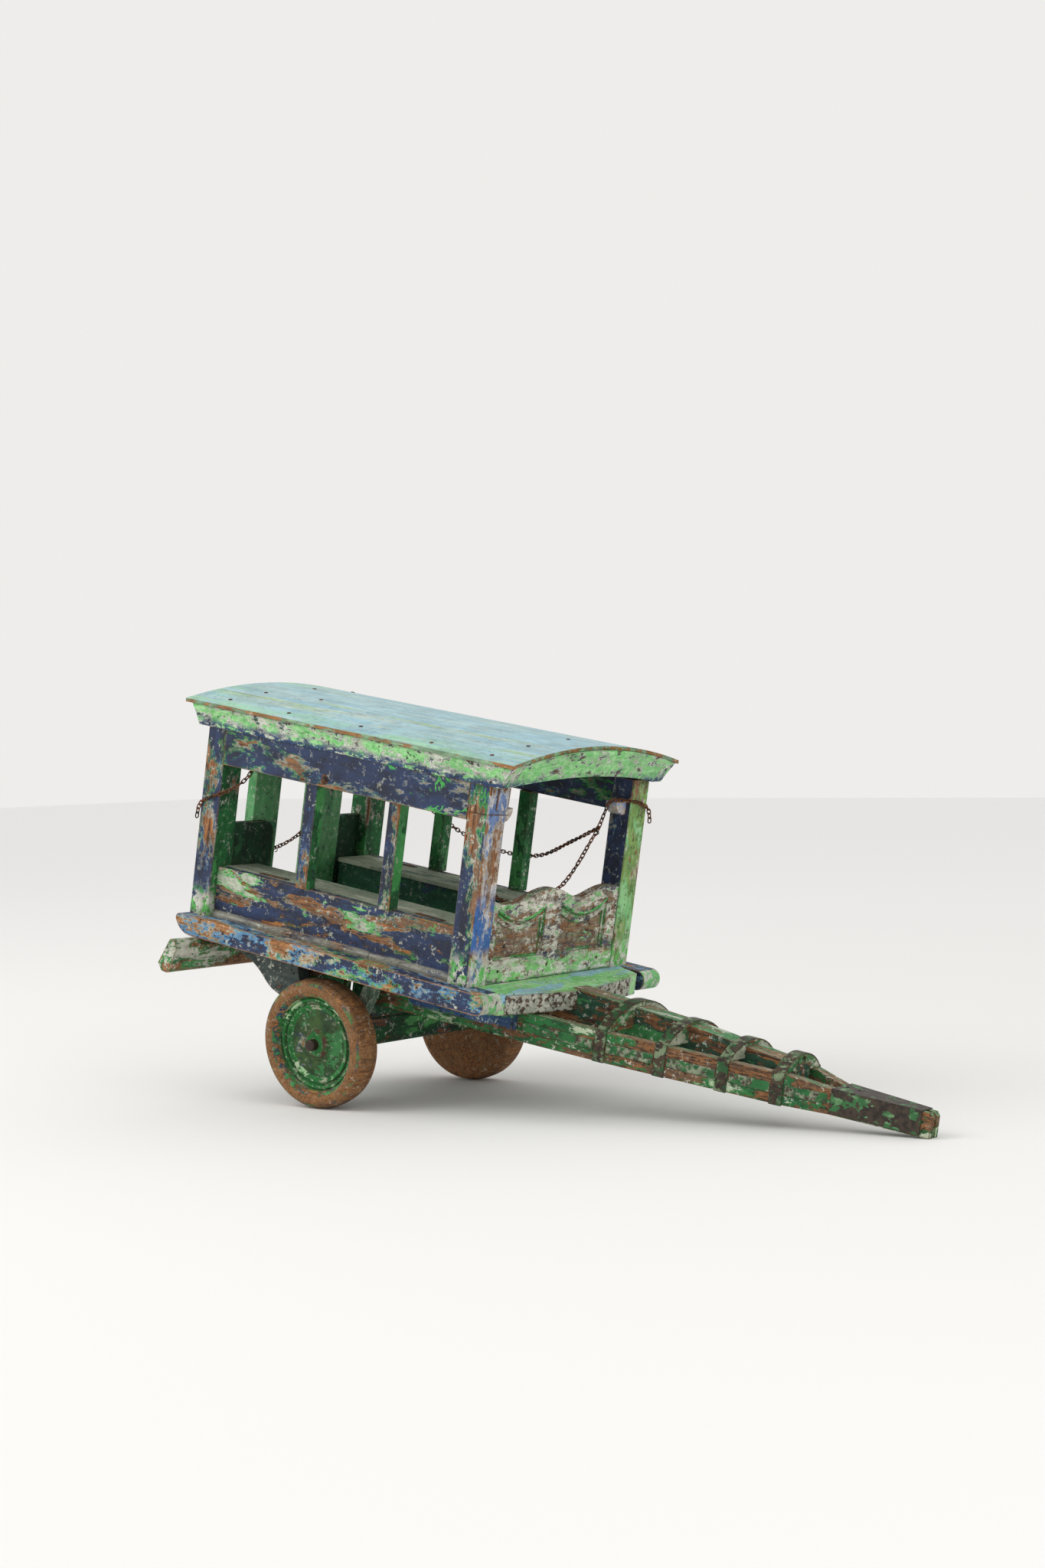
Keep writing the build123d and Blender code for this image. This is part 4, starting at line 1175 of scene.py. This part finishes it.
for side, sign in (("right", -1), ("left", 1)):
    tin = bmesh.new()
    for x0, x1 in ((277, 387), (407, 475), (495, 563), (583, 639), (659, 711)):
        def spot(u, v, x0=x0):
            y, slope = rail_side(x0 + u)
            out = Vector((-slope, 1.0, 0.0)).normalized()
            out.y *= sign
            return Vector((x0 + u, sign * y, 71.5 + v)) + out * 0.3, out
        embossed(tin, spot, ticks, x1 - x0, 13.0, 0.5, 1.0)
    finish_piece("rail_tin_" + side, tin, strip_tin)
print("rails dressed")

# %% [markdown]
# ## Bearers under the floor
# Behind the axle the drawbar's rails carry on as two dark bearers that taper towards the
# back, mostly hidden by the wheels. Each is a sawn board with a long scarf at its end. The
# outline is drawn from the side and given its thickness, and its arrises are eased by hand.

# %% Saw the bearers
def sawn_board(name, outline, y_at, thick, material):
    """A board from its side outline, following y_at(x) across the cart."""
    shape = bmesh.new()
    outer = [shape.verts.new(at(x, y_at(x), z)) for x, z in outline]
    inner = [shape.verts.new(at(x, y_at(x) - thick * (1 if y_at(x) > 0 else -1), z))
             for x, z in outline]
    shape.faces.new(outer)
    shape.faces.new(list(reversed(inner)))
    count = len(outline)
    for k in range(count):
        j = (k + 1) % count
        shape.faces.new((outer[k], inner[k], inner[j], outer[j]))
    bmesh.ops.bevel(shape, geom=list(shape.edges), offset=0.0012, segments=2, affect="EDGES")
    return finish_piece(name, shape, material, smooth=False)


scarf = [(-21, 60), (-21, 104), (-150, 104), (-196, 104.6), (-196, 96), (-150, 74), (-96, 62)]
for side, sign in (("right", -1), ("left", 1)):
    sawn_board("bearer_" + side, scarf, lambda x, s=sign: s * (108.5 - 0.03 * (x + 21)), 15,
               rail_paint)
print("bearers sawn")

# %% [markdown]
# ## Swags on the front panel
# Over each sunken field runs a pair of thin carved beads that sag like ribbon. They are
# half-round mouldings left standing by the carver, still bright green where they stand
# clear, so they are swept along the same arc as the field's top.

# %% Carve the swags
def swag_line(y0, y1, high, sag, x):
    """Places along a sagging arc between two ends of the same height."""
    middle, half = (y0 + y1) / 2, (y1 - y0) / 2
    reach = (half * half + sag * sag) / (2 * sag)
    return [(x, y, high - sag + reach - sqrt(reach ** 2 - (y - middle) ** 2))
            for y in (y0 + (y1 - y0) * k / 26 for k in range(27))]


def swag_paint():
    f = Finish("swag_paint")
    stack = flaked(f, [(0.40, "c6c2b4", "aaa698", 0.14), (0.45, "5cba60", "3fa04c", 0.16),
                       (0.56, "9fd498", "8fc98a", 0.10)], "y", 40, 0.4, 190.0, f.edge(0.002),
                   0.08, ORANGE)
    return paint_done(f, stack, 9.0)


swags = bmesh.new()
for y0, y1 in ((-133, -24), (12, 121)):
    wire_round(swags, swag_line(y0 + 2, y1 - 2, 233.5, 17, 245.9), 3.0)
    wire_round(swags, swag_line(y0 + 6, y1 - 6, 226.0, 16, 242.7), 2.4)
finish_piece("front_swags", swags, swag_paint())
print("swags carved")
